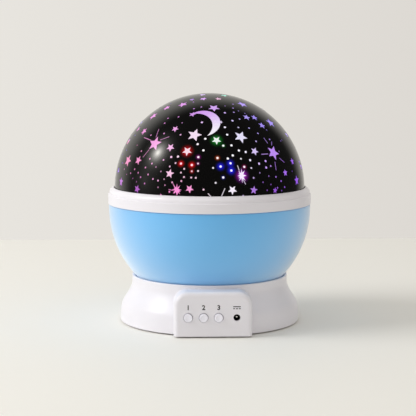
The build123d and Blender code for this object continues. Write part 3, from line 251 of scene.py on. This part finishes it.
skinLow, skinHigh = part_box("star_skin")
skin = {
    "radius": skinHigh.x,  # outside of the print
    "centreHeight": skinLow.z,
    "thickness": 0.5 * mm,
    "windowSink": 0.1 * mm,  # windows lie this far under the printed face
    "spacing": 2.6 * mm,  # between mesh points
    "rimTurns": 180,  # mesh points around the rim
    "rimMargin": 0.3 * mm,  # a window that comes nearer to the rim is left out
    # stars that are windows of the CAD skin too: turn, rise (degrees), radius (mm), turn of a point
    "stars": (
        (-13, 37.5, 4.7, 14), (20.5, 36, 4.5, 32), (3, 60, 3.9, 36), (2.7, 34, 3.0, 36),
        (-16.5, 27, 3.1, 36), (-29.5, 41.5, 2.5, 20), (-42, 31, 5.1, 2), (-28.5, 29, 2.8, 30),
        (-26, 13.5, 2.9, 8), (-13.5, 5.2, 2.6, 30), (11, 4.5, 2.9, 36), (28, 26.5, 2.8, 30),
        (43, 25, 5.0, 30), (17, 12.5, 2.6, 20), (34, 50.5, 2.7, 28), (43, 50, 2.7, 28),
        (45, 43.5, 2.8, 25), (60, 45, 4.1, 20), (47, 63.5, 3.9, 10), (-40, 63.5, 3.5, 20),
        (-61, 59, 3.2, 20), (-68, 50.5, 3.8, 20), (-61, 38.5, 3.0, 20), (-64, 19, 4.2, 15),
        (-52, 20, 3.1, 15), (-68, 6, 3.4, 0), (61, 18.5, 2.6, 0), (49.5, 12.5, 2.4, 0),
        (62, 7, 3.5, 0), (24, 4, 2.6, 10), (-21, 4, 2.6, 25), (-49, 3.4, 2.8, 20),
        (76, 35, 2.7, 10), (-80, 30, 2.9, 10), (77, 14, 2.8, 10), (-14, 72, 2.8, 15),
    ),
    # stars of the print alone, with the same values
    "printStars": (
        (39, 3, 2.0, 10), (75, 17, 1.8, 0), (7.5, 47, 1.3, 20), (-19, 53.5, 2.4, 10),
        (86, 56, 3.0, 10), (-75, 39.5, 2.6, 20), (-35, 70.5, 2.3, 0), (47, 78.5, 3.4, 0),
        (15, 72, 2.7, 0), (-30, 81, 3.2, 20), (90, 23, 2.9, 10), (88, 7, 2.6, 25),
        (95, 44, 3.1, 15), (101, 31, 2.3, 0), (103, 12, 2.7, 30),
    ),
    "moon": {"turn": -8, "rise": 46.8, "radius": 10.8, "bite": 10.9, "biteShift": (-4.6, -2.9)},
    "bursts": (  # turn, rise, radius (mm), points, slimness
        (17, 12.5, 4.6, 8, 0.62), (-21, 4.5, 3.8, 8, 0.8),
    ),
    "dots": (  # radius (mm), brightness, then turn and rise of each
        (0.72, 1.1, (
            (-10, 31.5), (-6, 27.6), (-9, 23.5), (-19.5, 19.5), (-12.7, 18.8), (-22, 23.6),
            (-8.5, 46.8), (-5, 35), (18, 48), (10, 43), (10.7, 37.7), (7, 30.5), (12.5, 30.6),
            (17, 27.3), (21.5, 26.3), (12.5, 24.4), (2.8, 23), (4.5, 18), (10.6, 19.8),
            (10.8, 15.6), (19, 17.5), (9.2, 22.6), (23.5, 21.3), (29.3, 19), (34, 16.5),
            (-26.5, 23.2), (13.5, 55), (34.5, 20.3), (5.8, 11.7),
        )),
        (0.58, 0.85, (
            (-9, 19.7), (-12.5, 15.2), (-17.2, 16.5), (-8.8, 15.4), (-19, 14.3), (-17, 11.8),
            (-12.7, 11.6), (-10, 11.5), (-18.5, 9.5), (-5.5, 4.9), (-31.5, 21.3), (-23, 19.7),
            (-26.5, 17.6), (-39.5, 18.8), (-42, 21.5), (-44, 16.2), (-41, 12.3), (-37, 9.9),
            (-33.3, 9.2), (-24, 8.6), (-43, 7), (-25.5, 3.2), (-49.5, 12.8), (-46.8, 10.4),
            (-53.5, 14.6), (-57, 12), (-66, 13.7), (-52, 25.7), (-31, 1.2), (-23.5, 37.5),
            (-32, 51), (-42.5, 49.5), (-42.5, 45.5), (-37.5, 38), (-49.5, 36.3), (-12, 61),
            (-20, 59), (-27, 67), (23.5, 55.3), (21, 42.7), (30.2, 42), (25.5, 49.2), (36, 38),
            (31.5, 32.7), (44.5, 33.5), (17.5, 22.3), (37.7, 17.2), (0, 17.2), (1.4, 8.7),
            (23.5, 16.7), (24.3, 11), (40.5, 10.7), (44.5, 8), (41, 4.4), (47.3, 4.3), (17.3, 1),
            (26, 59.5), (31, 64), (83, 26), (84, 40), (89, 34), (95, 35), (96, 26), (94, 15),
            (82, 9), (97, 7), (101, 22), (103, 41), (107, 25), (108, 35), (92, 52), (86, 63),
            (100, 58), (76, 70), (112, 64), (84, 17), (108, 17),
        )),
        (0.5, 0.5, (
            (-36, 16.9), (-32, 14.5), (-29.3, 10.2), (-28.5, 6.8), (-33, 5.4), (-61.5, 10.9),
            (-59.5, 29), (-53.8, 9.2), (-50, 7.5), (-70, 17), (-25.5, 46.2), (59, 32.5),
            (56.5, 31.8), (30, 56.5), (35.5, 54), (17.5, 62), (47, 40), (28.8, 13.7), (35, 11.5),
            (30.4, 8.2), (36, 6.6), (33, 3.5), (44.5, 2.5), (57.5, 12.8), (49, 25.5),
        )),
    ),
    "rayHalfWidth": 0.24,  # mm
    "rays": (  # from turn and rise to turn and rise
        (-43.3, 35, -44.7, 41), (-46.5, 33, -56, 34.5), (-38.5, 33.5, -32, 36),
        (-45, 27, -48.5, 22), (32.5, 24.5, 38, 24.5), (39.5, 34.8, 41, 31), (47, 21.5, 51, 18.5),
        (42, 19.5, 41.5, 14.5), (44, 29.5, 45.5, 32), (14.8, 18.5, 15.6, 15.5),
        (17.5, 10.5, 19, 7.5), (-3, 2.8, -1, 0.6), (4.7, 1.2, 6.7, 5.6), (-23.5, 8, -22, 5.5),
        (-26, 4.5, -23, 4),
    ),
    "brightness": {"star": 1.0, "printStar": 0.9, "moon": 1.0, "burst": 1.1, "ray": 0.7},
    # light of the lamps inside, as it reaches the dome: turn, rise, spread (degrees), colour
    "lampLight": (
        (4, 30, 20, "#FFFFFF"), (10, 11, 9, "#F8EEFF"), (-16, 16, 9, "#FFD8EA"),
        (-19, 27, 5.5, "#FFF2F7"), (-16, 54, 8, "#CC90F8"), (0, 66, 14, "#D6A4FA"),
        (-36, 29, 14, "#FFB0EE"), (-44, 51, 19, "#E98CE4"), (-60, 19, 15, "#FF98C8"),
        (-17, 3, 8, "#F96ACC"), (-56, 2, 10, "#8A40C6"), (-71, 5, 8, "#A860E2"),
        (42, 24, 11, "#C68CF6"), (49, 48, 20, "#9B86F2"), (61, 12, 16, "#9A58EC"),
        (29, 3, 9, "#9848D8"), (47, 79, 5, "#74F5C0"), (15, 72, 4, "#FFC2B6"),
        (-30, 81, 5, "#DCC4FF"), (-36, 70, 4, "#8468DC"),
    ),
    # painted glows on the print, halos of lamp light drawn around windows where a lamp shows
    # through: turn, rise, colour, reach (mm), strength
    "paintedGlows": (
        (-16.5, 27, "#FF0A1E", 5.5, 1.5), (-19.5, 19.5, "#FF0A14", 3.3, 1.4),
        (-12.7, 18.8, "#FF0A14", 3.5, 1.4), (-12.5, 15.2, "#FF1A1A", 2.3, 0.8),
        (2.7, 34, "#0AD03C", 5.6, 0.9), (7, 30.5, "#0A9A32", 2.6, 0.5),
        (4.5, 18, "#2424FF", 4.0, 1.4), (10.8, 15.6, "#2424FF", 4.2, 1.4),
        (10.4, 19.6, "#2424FF", 4.0, 1.2), (-9, 23.5, "#C010B0", 2.6, 0.9),
        (-9, 19.7, "#C010A0", 2.0, 0.7), (17, 12.5, "#C828E8", 6.0, 1.6),
        (19, 17.5, "#E01080", 2.4, 0.8), (2.8, 23, "#E05A0A", 2.5, 1.2),
        (5.8, 11.7, "#3030E0", 2.2, 0.6),
    ),
    "glowFalloff": 3.0,  # a higher power draws each painted glow in towards its middle
    "glowTint": 0.1,  # most that a painted glow colours the windows in its reach
}


def outwards(turn, rise):
    # direction from a middle: turn to the right of the front and rise above the level, in degrees
    side, up = math.radians(turn), math.radians(rise)
    return Vector((math.cos(up) * math.sin(side), -math.cos(up) * math.cos(side), math.sin(up)))


def onDome(turn, rise, x, y):
    # direction of a point x to the right and y up the dome from a place on it
    out = outwards(turn, rise)
    side = math.radians(turn)
    right = Vector((math.cos(side), math.sin(side), 0))
    depth = math.sqrt(skin["radius"] ** 2 - x ** 2 - y ** 2)
    return (out * depth + right * x + out.cross(right) * y).normalized()


def flatten(direction):
    # the dome unrolled from its pole, with true distances along each meridian
    fall = math.acos(min(1.0, direction.z)) * skin["radius"]
    return Vector((direction.x, direction.y)).normalized() * fall


def unflatten(point):
    # direction of a point of the unrolled dome
    fall = point.length / skin["radius"]
    flat = point.normalized() * math.sin(fall)
    return Vector((flat.x, flat.y, math.cos(fall)))


def starShape(radius, turn, waist=0.45, points=5):
    # corners of a star, its first point turned clockwise from upright
    corners = []
    for k in range(2 * points):
        reach = radius * (waist if k % 2 else 1)
        angle = math.radians(turn + 180 / points * k)
        corners.append((reach * math.sin(angle), reach * math.cos(angle)))
    return corners


def moonShape(radius, biteRadius, biteShift, steps=22):
    # crescent left by a second circle
    apart = math.hypot(*biteShift)
    away = math.atan2(biteShift[1], biteShift[0])
    opening = math.acos((apart ** 2 + radius ** 2 - biteRadius ** 2) / (2 * apart * radius))
    bitten = math.acos((apart ** 2 + biteRadius ** 2 - radius ** 2) / (2 * apart * biteRadius))
    corners = []
    for k in range(steps + 1):
        angle = away + opening + 2 * (math.pi - opening) * k / steps
        corners.append((radius * math.cos(angle), radius * math.sin(angle)))
    for k in range(1, steps):
        angle = away + math.pi + bitten - 2 * bitten * k / steps
        x = biteShift[0] + biteRadius * math.cos(angle)
        corners.append((x, biteShift[1] + biteRadius * math.sin(angle)))
    return corners


def dotShape(radius, sides=12):
    angles = [2 * math.pi * k / sides for k in range(sides)]
    return [(radius * math.cos(a), radius * math.sin(a)) for a in angles]


def rayShape(start, end):
    # middle of a ray between two places and its corners, as a thin bar
    turn, rise = (start[0] + end[0]) / 2, (start[1] + end[1]) / 2
    half = outwards(*start).angle(outwards(*end)) / 2 * skin["radius"]
    lean = math.atan2(end[1] - start[1], (end[0] - start[0]) * math.cos(math.radians(rise)))
    along = Vector((math.cos(lean), math.sin(lean)))
    across = Vector((-along.y, along.x)) * skin["rayHalfWidth"] * mm
    tail, tip = along * -half, along * half
    return turn, rise, (tail - across, tip - across, tip + across, tail + across)


def tintAt(turn, rise):
    # the lamps' light at one place of the dome, with a painted glow's colour mixed in near it
    here = outwards(turn, rise)
    total, mixed = 0.0, Vector((0, 0, 0))
    for lightTurn, lightRise, spread, code in skin["lampLight"]:
        away = here.angle(outwards(lightTurn, lightRise)) / math.radians(spread)
        weight = math.exp(-away ** 2)
        total += weight
        mixed += Vector(hexColour(code)[:3]) * weight
    mixed /= total
    for glowTurn, glowRise, code, reach, _ in skin["paintedGlows"]:
        apart = here.angle(outwards(glowTurn, glowRise)) * skin["radius"]
        if apart < reach * mm:
            share = skin["glowTint"] * (1 - apart / (reach * mm))
            mixed = mixed.lerp(Vector(hexColour(code)[:3]), share)
    return mixed


def printedWindows():
    # every window of the front half as (turn, rise, corners in metres, brightness)
    bright, moon = skin["brightness"], skin["moon"]
    found = []
    for kind, stars in (("star", skin["stars"]), ("printStar", skin["printStars"])):
        for turn, rise, size, point in stars:
            found.append((turn, rise, starShape(size * mm, point), bright[kind]))
    for turn, rise, size, points, slim in skin["bursts"]:
        burst = starShape(size * mm, 0, waist=0.36, points=points)
        found.append((turn, rise, [(x * slim, y) for x, y in burst], bright["burst"]))
    shift = [s * mm for s in moon["biteShift"]]
    crescent = moonShape(moon["radius"] * mm, moon["bite"] * mm, shift)
    found.append((moon["turn"], moon["rise"], crescent, bright["moon"]))
    for size, level, places in skin["dots"]:
        found += [(turn, rise, dotShape(size * mm), level) for turn, rise in places]
    for turn, rise, toTurn, toRise in skin["rays"]:
        found.append((*rayShape((turn, rise), (toTurn, toRise)), bright["ray"]))
    return found


def meshPoints():
    # even points over the unrolled dome, from the pole to just inside the rim
    ringCount = round(math.pi / 2 * skin["radius"] / skin["spacing"])
    points = [Vector((0, 0))]
    for ring in range(1, ringCount):
        fall = math.pi / 2 * ring / ringCount
        count = round(2 * math.pi * math.sin(fall) * skin["radius"] / skin["spacing"])
        for k in range(count):
            angle = 2 * math.pi * (k + 0.5 * (ring % 2)) / count  # every second ring half a step on
            points.append(Vector((math.cos(angle), math.sin(angle))) * fall * skin["radius"])
    return points


def unrolledPrint():
    # triangles of the unrolled dome, and the window, if any, that each one belongs to
    count = skin["rimTurns"]
    rim = math.pi / 2 * skin["radius"]
    rimAngles = [2 * math.pi * k / count for k in range(count)]
    points = [Vector((math.cos(a), math.sin(a))) * rim for a in rimAngles]
    outlines, windows = [], []
    for around in (0, 180):  # the back half repeats the front
        for turn, rise, corners, level in printedWindows():
            flat = [flatten(onDome(turn + around, rise, x, y)) for x, y in corners]
            if max(p.length for p in flat) > rim - skin["rimMargin"]:
                continue
            if sum(p.cross(q) for p, q in zip(flat, flat[1:] + flat[:1])) < 0:
                flat.reverse()
            outlines.append(list(range(len(points), len(points) + len(flat))))
            points += flat
            windows.append((turn, rise, level))
    points += meshPoints()
    samePoint = 1e-6 * mm
    flat, _, triangles, _, _, owners = delaunay_2d_cdt(points, [], outlines, 0, samePoint)
    return flat, triangles, owners, windows


def windowTint(window, middle):
    # the light in a window, or in one triangle of the moon, where it changes from tip to tip
    turn, rise, brightness = window
    if (turn, rise) == (skin["moon"]["turn"], skin["moon"]["rise"]):
        way = unflatten(middle)
        half = -1 if way.y > 0 else 1
        turn = math.degrees(math.atan2(way.x * half, -way.y * half))
        rise = math.degrees(math.asin(way.z))
    return tintAt(turn, rise) * brightness


def buildPrint(*materials):
    # print with its windows sunk a little: printed face, window faces, inside and steps between
    flat, triangles, owners, windows = unrolledPrint()
    printed, window, inside = 0, 1, 2  # depths of the print; the first two are its slots as well
    radii = [skin["radius"] - sink for sink in (0, skin["windowSink"], skin["thickness"])]
    centre = Vector((0, 0, skin["centreHeight"]))
    directions = [unflatten(p) for p in flat]
    places, points = {}, []

    def place(corner, depth):
        if (corner, depth) not in places:
            places[corner, depth] = len(points)
            points.append(centre + directions[corner] * radii[depth])
        return places[corner, depth]

    faces, slots, normals, tints = [], [], [], []
    edgeDepth = {}
    for triangle, owner in zip(triangles, owners):
        depth, tint = printed, (0, 0, 0)
        if owner:
            middle = sum((flat[c] for c in triangle), Vector((0, 0))) / 3
            depth, tint = window, windowTint(windows[owner[0]], middle)
        faces.append([place(c, depth) for c in triangle])
        normals.append([directions[c] for c in triangle])
        faces.append([place(c, inside) for c in reversed(triangle)])
        normals.append([-directions[c] for c in reversed(triangle)])
        slots += [depth, depth]
        tints += [tint, tint]
        for k in range(3):
            edgeDepth[triangle[k], triangle[(k + 1) % 3]] = depth
    for (a, b), depth in edgeDepth.items():
        across = edgeDepth.get((b, a), inside)  # what lies over this edge; at the rim, the inside
        if across <= depth:
            continue
        faces.append([place(b, depth), place(a, depth), place(a, across), place(b, across)])
        side = (directions[b] - directions[a]).cross(directions[a]).normalized()
        normals.append([side] * 4)
        slots.append(printed)
        tints.append((0, 0, 0))
    mesh = bpy.data.meshes.new("starPrint")
    mesh.from_pydata(points, [], faces)
    mesh.polygons.foreach_set("material_index", slots)
    mesh.shade_smooth()
    mesh.normals_split_custom_set([tuple(n) for corners in normals for n in corners])
    light = mesh.attributes.new("windowLight", "FLOAT_COLOR", "CORNER")
    colours = [(*tint, 1.0) for tint, corners in zip(tints, faces) for _ in corners]
    light.data.foreach_set("color", [value for colour in colours for value in colour])
    return addPiece("starPrint", mesh, *materials)


def glossPrint():
    # black ink under gloss lacquer: near-black and smooth, with painted glow around windows where a
    # lamp shows through
    material, tree, shader = startMaterial(
        "blackLacquerInkPaintedGlow", Base_Color=hexColour("#050505"), Roughness=0.1, Emission_Strength=1.0
    )
    spot = addNode(tree, "ShaderNodeTexCoord").outputs["Object"]
    # the back half turned onto the front, so that each painted glow shows on both
    depth = addNode(tree, "ShaderNodeSeparateXYZ", {"Vector": spot}).outputs["Y"]
    behind = addNode(tree, "ShaderNodeMath", {0: depth}, operation="SIGN").outputs["Value"]
    opposite = {0: behind, 1: -1.0}
    flip = addNode(tree, "ShaderNodeMath", opposite, operation="MULTIPLY").outputs["Value"]
    signs = addNode(tree, "ShaderNodeCombineXYZ", {"X": flip, "Y": flip, "Z": 1.0})
    turned = {0: spot, 1: signs.outputs["Vector"]}
    folded = addNode(tree, "ShaderNodeVectorMath", turned, operation="MULTIPLY").outputs["Vector"]
    total = (0, 0, 0)
    centre = Vector((0, 0, skin["centreHeight"]))
    for turn, rise, code, reach, strength in skin["paintedGlows"]:
        ends = {0: folded, 1: centre + outwards(turn, rise) * skin["radius"]}
        away = addNode(tree, "ShaderNodeVectorMath", ends, operation="DISTANCE").outputs["Value"]
        fade = {"Value": away, "From Max": reach * mm, "To Min": 1.0, "To Max": 0.0}
        near = addNode(tree, "ShaderNodeMapRange", fade).outputs["Result"]
        drawnIn = {0: near, 1: skin["glowFalloff"]}
        level = addNode(tree, "ShaderNodeMath", drawnIn, operation="POWER").outputs["Value"]
        colour = {0: Vector(hexColour(code)[:3]) * strength, "Scale": level}
        glow = addNode(tree, "ShaderNodeVectorMath", colour, operation="SCALE").outputs["Vector"]
        both = {0: total, 1: glow}
        total = addNode(tree, "ShaderNodeVectorMath", both, operation="ADD").outputs["Vector"]
    # the painted glows go in as the ink's emission
    tree.links.new(total, shader.inputs["Emission Color"])
    raiseGrain(tree, shader, width=7 * mm, depth=0.01 * mm, strength=0.25)
    return material


def litWindow():
    # clear film window lit from inside: the lamps' colour from the mesh, slightly cloudy, under a
    # clean gloss
    material, tree, shader = startMaterial(
        "litClearFilm", Base_Color=hexColour("#101010"), Roughness=0.1
    )
    light = addNode(tree, "ShaderNodeAttribute", attribute_name="windowLight").outputs["Color"]
    tree.links.new(light, shader.inputs["Emission Color"])
    driftSocket(tree, shader.inputs["Emission Strength"], 0.82, 1.1, patch=0.8 * mm, detail=3.0)
    return material


starPrint = buildPrint(glossPrint(), litWindow())
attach(starPrint, "dome")
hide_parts("star_skin")
print("star print:", len(starPrint.data.polygons), "faces")

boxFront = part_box("base_shell")[0].y
buttonMiddles = [sum(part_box(f"button_{n}"), Vector()) / 2 for n in (1, 2, 3)]
jackMiddle = sum(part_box("dc_jack_body"), Vector()) / 2
label = {
    "rise": 6.1 * mm,  # above the middle of its button or socket
    "thickness": 0.02 * mm,
    "digitSize": 4.0 * mm,
    "boldness": 0.12 * mm,
    "signWidth": 4.6 * mm,
    "signLine": 0.55 * mm,
    "signGap": 1.21 * mm,  # from the middle of the line to the middle of the dashes
}


def padInk():
    # matt dark grey pad-printing ink, slightly uneven
    material, tree, shader = startMaterial("greyPadInk", Base_Color=hexColour("#202023"))
    driftSocket(tree, shader.inputs["Roughness"], 0.5, 0.65, patch=0.4 * mm)
    return material


def digitPiece(text, x, z, material):
    curve = bpy.data.curves.new("digit", "FONT")
    curve.body = text
    curve.size = label["digitSize"]
    curve.align_x = "CENTER"
    curve.align_y = "CENTER"
    curve.extrude = label["thickness"] / 2
    curve.offset = label["boldness"]
    shown = addPiece("digit", curve)
    solid = shown.evaluated_get(bpy.context.evaluated_depsgraph_get())
    mesh = bpy.data.meshes.new_from_object(solid)
    bpy.data.objects.remove(shown)
    upright = Matrix.Rotation(math.pi / 2, 4, "X")
    mesh.transform(Matrix.Translation((x, boxFront - label["thickness"] / 2, z)) @ upright)
    return addPiece(f"label_{text}", mesh, material)


def currentSign(x, z, material):
    # direct-current sign: one line over three dashes
    half, line, gap = label["signWidth"] / 2, label["signLine"] / 2, label["signGap"] / 2
    dash = label["signWidth"] / 8  # half a dash, and the space between two
    bars = [(-half, half, gap)]
    bars += [(3 * k * dash - dash, 3 * k * dash + dash, -gap) for k in (-1, 0, 1)]
    points, faces = [], []
    for left, right, height in bars:
        first = len(points)
        low, high = z + height - line, z + height + line
        outline = [(x + left, low), (x + right, low), (x + right, high), (x + left, high)]
        for y in (boxFront, boxFront - label["thickness"]):
            points += [(across, y, up) for across, up in outline]
        faces += [[first + k for k in face] for face in ((0, 3, 2, 1), (4, 5, 6, 7))]
        for k in range(4):
            j = (k + 1) % 4
            faces.append([first + k, first + j, first + 4 + j, first + 4 + k])
    mesh = bpy.data.meshes.new("label_dc")
    mesh.from_pydata(points, [], faces)
    return addPiece("label_dc", mesh, material)


ink = padInk()
labels = [digitPiece(str(n), m.x, m.z + label["rise"], ink) for n, m in enumerate(buttonMiddles, 1)]
labels.append(currentSign(jackMiddle.x, jackMiddle.z + label["rise"], ink))
for piece in labels:
    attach(piece, "base")
print("labels printed")

view = {
    "distance": 850 * mm,
    "azimuth": -2.0,
    "elevation": 6.7,
    "lens": 114.9,  # focal length in mm
    "clipStart": 50 * mm,
    "aimHeight": 71.8 * mm,
    "aimRight": -1.0 * mm,
}
towardsCamera = outwards(view["azimuth"], view["elevation"])
rightward = Vector((0, 0, 1)).cross(towardsCamera).normalized()
cameraData = bpy.data.cameras.new("camera")
cameraData.lens = view["lens"]
cameraData.clip_start = view["clipStart"]
camera = addPiece("camera", cameraData)
aim = Vector((0, 0, view["aimHeight"])) + rightward * view["aimRight"]
camera.location = aim + towardsCamera * view["distance"]
camera.rotation_euler = towardsCamera.to_track_quat("Z", "Y").to_euler()
bpy.context.scene.camera = camera
bpy.context.scene.view_settings.view_transform = "Standard"

room = {
    "wallLeft": "#EAE7E1",
    "wallRight": "#DDD9D3",
    "turnover": 0.2,  # how far from the middle the wall has changed, 1 being straight to the side
    "fill": 0.9,  # share of the wall's light that fills the shadows
}


def plainRoom():
    # pale room, a little darker to the right: full wall to the eye and in gloss, less as fill light
    world = bpy.data.worlds.new("plainRoom")
    world.use_nodes = True
    tree = world.node_tree
    back = tree.nodes["Background"]
    way = addNode(tree, "ShaderNodeTexCoord").outputs["Generated"]
    side = addNode(tree, "ShaderNodeSeparateXYZ", {"Vector": way}).outputs["X"]
    edges = {"Value": side, "From Min": -room["turnover"], "From Max": room["turnover"]}
    share = addNode(tree, "ShaderNodeMapRange", edges).outputs["Result"]
    wall = addNode(tree, "ShaderNodeMix", {"Factor": share}, data_type="RGBA")
    wall.inputs["A"].default_value = hexColour(room["wallLeft"])
    wall.inputs["B"].default_value = hexColour(room["wallRight"])
    tree.links.new(wall.outputs["Result"], back.inputs["Color"])
    path = addNode(tree, "ShaderNodeLightPath")
    seen = path.outputs["Is Camera Ray"]
    for ray in ("Is Glossy Ray", "Is Transmission Ray"):
        either = {0: seen, 1: path.outputs[ray]}
        seen = addNode(tree, "ShaderNodeMath", either, operation="MAXIMUM").outputs["Value"]
    levels = {"Value": seen, "To Min": room["fill"], "To Max": 1.0}
    strength = addNode(tree, "ShaderNodeMapRange", levels).outputs["Result"]
    tree.links.new(strength, back.inputs["Strength"])
    bpy.context.scene.world = world


table = {"colour": "#F0EFEA", "half": 367 * mm}


def tableTop():
    # matt pale table that takes the object's shadow
    material = startMaterial(
        "paleTable", Base_Color=hexColour(table["colour"]), Roughness=0.6, Specular_IOR_Level=0.2
    )[0]
    half = table["half"]
    corners = [(-half, -half, 0), (half, -half, 0), (half, half, 0), (-half, half, 0)]
    mesh = bpy.data.meshes.new("tableTop")
    mesh.from_pydata(corners, [], [(0, 1, 2, 3)])
    addPiece("tableTop", mesh, material)


dark = {
    "radius": 2.2,
    "azimuth": 8,
    "elevation": -3,
    "angle": 129,  # from its middle to the middle of its soft edge (degrees)
    "edge": 15,  # half the width of that edge (degrees)
    "level": 0.08,
    "hazes": ((-82.5, 36.5, 3.8, 34), (-86, 10, 12, 0.7)),  # azimuth, elevation, spread, level
    "rows": 40,
    "columns": 48,
}


def darkShell():
    # part of a sphere around the object, open at the back; a pinhole keeps its first points apart
    turn = outwards(dark["azimuth"], dark["elevation"]).to_track_quat("Z", "Y").to_matrix()
    rows, columns, pinhole = dark["rows"], dark["columns"], 0.01
    points, faces = [], []
    for row in range(rows + 1):
        fall = math.radians(dark["angle"] + dark["edge"]) * max(row, pinhole) / rows
        for k in range(columns):
            angle = 2 * math.pi * k / columns
            side = Vector((math.cos(angle), math.sin(angle), 0)) * math.sin(fall)
            points.append(turn @ (side + Vector((0, 0, math.cos(fall)))) * dark["radius"])
    for first in range(0, rows * columns, columns):
        for k in range(columns):
            j = (k + 1) % columns
            faces.append((first + k, first + j, first + columns + j, first + columns + k))
    mesh = bpy.data.meshes.new("darkSide")
    mesh.from_pydata(points, [], faces)
    return mesh


def darkSide():
    # the unlit side of the room, seen only in gloss, with the hazes of the key light on it
    material = bpy.data.materials.new("darkRoomSide")
    material.use_nodes = True
    tree = material.node_tree
    tree.nodes.clear()
    spot = addNode(tree, "ShaderNodeTexCoord").outputs["Object"]
    way = addNode(tree, "ShaderNodeVectorMath", {0: spot}, operation="NORMALIZE").outputs["Vector"]
    ends = {0: way, 1: outwards(dark["azimuth"], dark["elevation"])}
    ahead = addNode(tree, "ShaderNodeVectorMath", ends, operation="DOT_PRODUCT").outputs["Value"]
    clear = addNode(tree, "ShaderNodeMapRange", {
        "Value": ahead,
        "From Min": math.cos(math.radians(dark["angle"] - dark["edge"])),
        "From Max": math.cos(math.radians(dark["angle"] + dark["edge"])),
    }, interpolation_type="SMOOTHSTEP")
    level = dark["level"]
    for azimuth, elevation, spread, strength in dark["hazes"]:
        ends = {0: way, 1: outwards(azimuth, elevation)}
        near = addNode(tree, "ShaderNodeVectorMath", ends, operation="DOT_PRODUCT").outputs["Value"]
        apart = addNode(tree, "ShaderNodeMath", {0: near}, operation="ARCCOSINE").outputs["Value"]
        turns = {0: apart, 1: -1 / math.radians(spread)}
        fall = addNode(tree, "ShaderNodeMath", turns, operation="MULTIPLY").outputs["Value"]
        share = addNode(tree, "ShaderNodeMath", {0: fall}, operation="EXPONENT").outputs["Value"]
        parts = {0: share, 1: strength, 2: level}
        level = addNode(tree, "ShaderNodeMath", parts, operation="MULTIPLY_ADD").outputs["Value"]
    colour = hexColour(room["wallLeft"])
    glow = addNode(tree, "ShaderNodeEmission", {"Color": colour, "Strength": level})
    seeThrough = addNode(tree, "ShaderNodeBsdfTransparent")
    mix = addNode(tree, "ShaderNodeMixShader", {
        0: clear.outputs["Result"], 1: glow.outputs["Emission"], 2: seeThrough.outputs["BSDF"],
    })
    addNode(tree, "ShaderNodeOutputMaterial", {"Surface": mix.outputs["Shader"]})
    piece = addPiece("darkSide", darkShell(), material)
    for ray in ("camera", "diffuse", "transmission", "shadow"):
        setattr(piece, f"visible_{ray}", False)


key = {
    "azimuth": -81,
    "elevation": 34,
    "distance": 1.5,
    "width": 0.9,
    "power": 12.7,  # watts
    "aimHeight": 70 * mm,
}


def softKey():
    # broad round light from the left that lights surfaces; its highlight is one of the hazes
    lampData = bpy.data.lights.new("softKey", "AREA")
    lampData.shape = "DISK"
    lampData.size = key["width"]
    lampData.energy = key["power"]
    lamp = addPiece("softKey", lampData)
    way = outwards(key["azimuth"], key["elevation"])
    lamp.location = Vector((0, 0, key["aimHeight"])) + way * key["distance"]
    lamp.rotation_euler = way.to_track_quat("Z", "Y").to_euler()
    lamp.visible_glossy = False


plainRoom()
tableTop()
darkSide()
softKey()
print("camera and studio set")
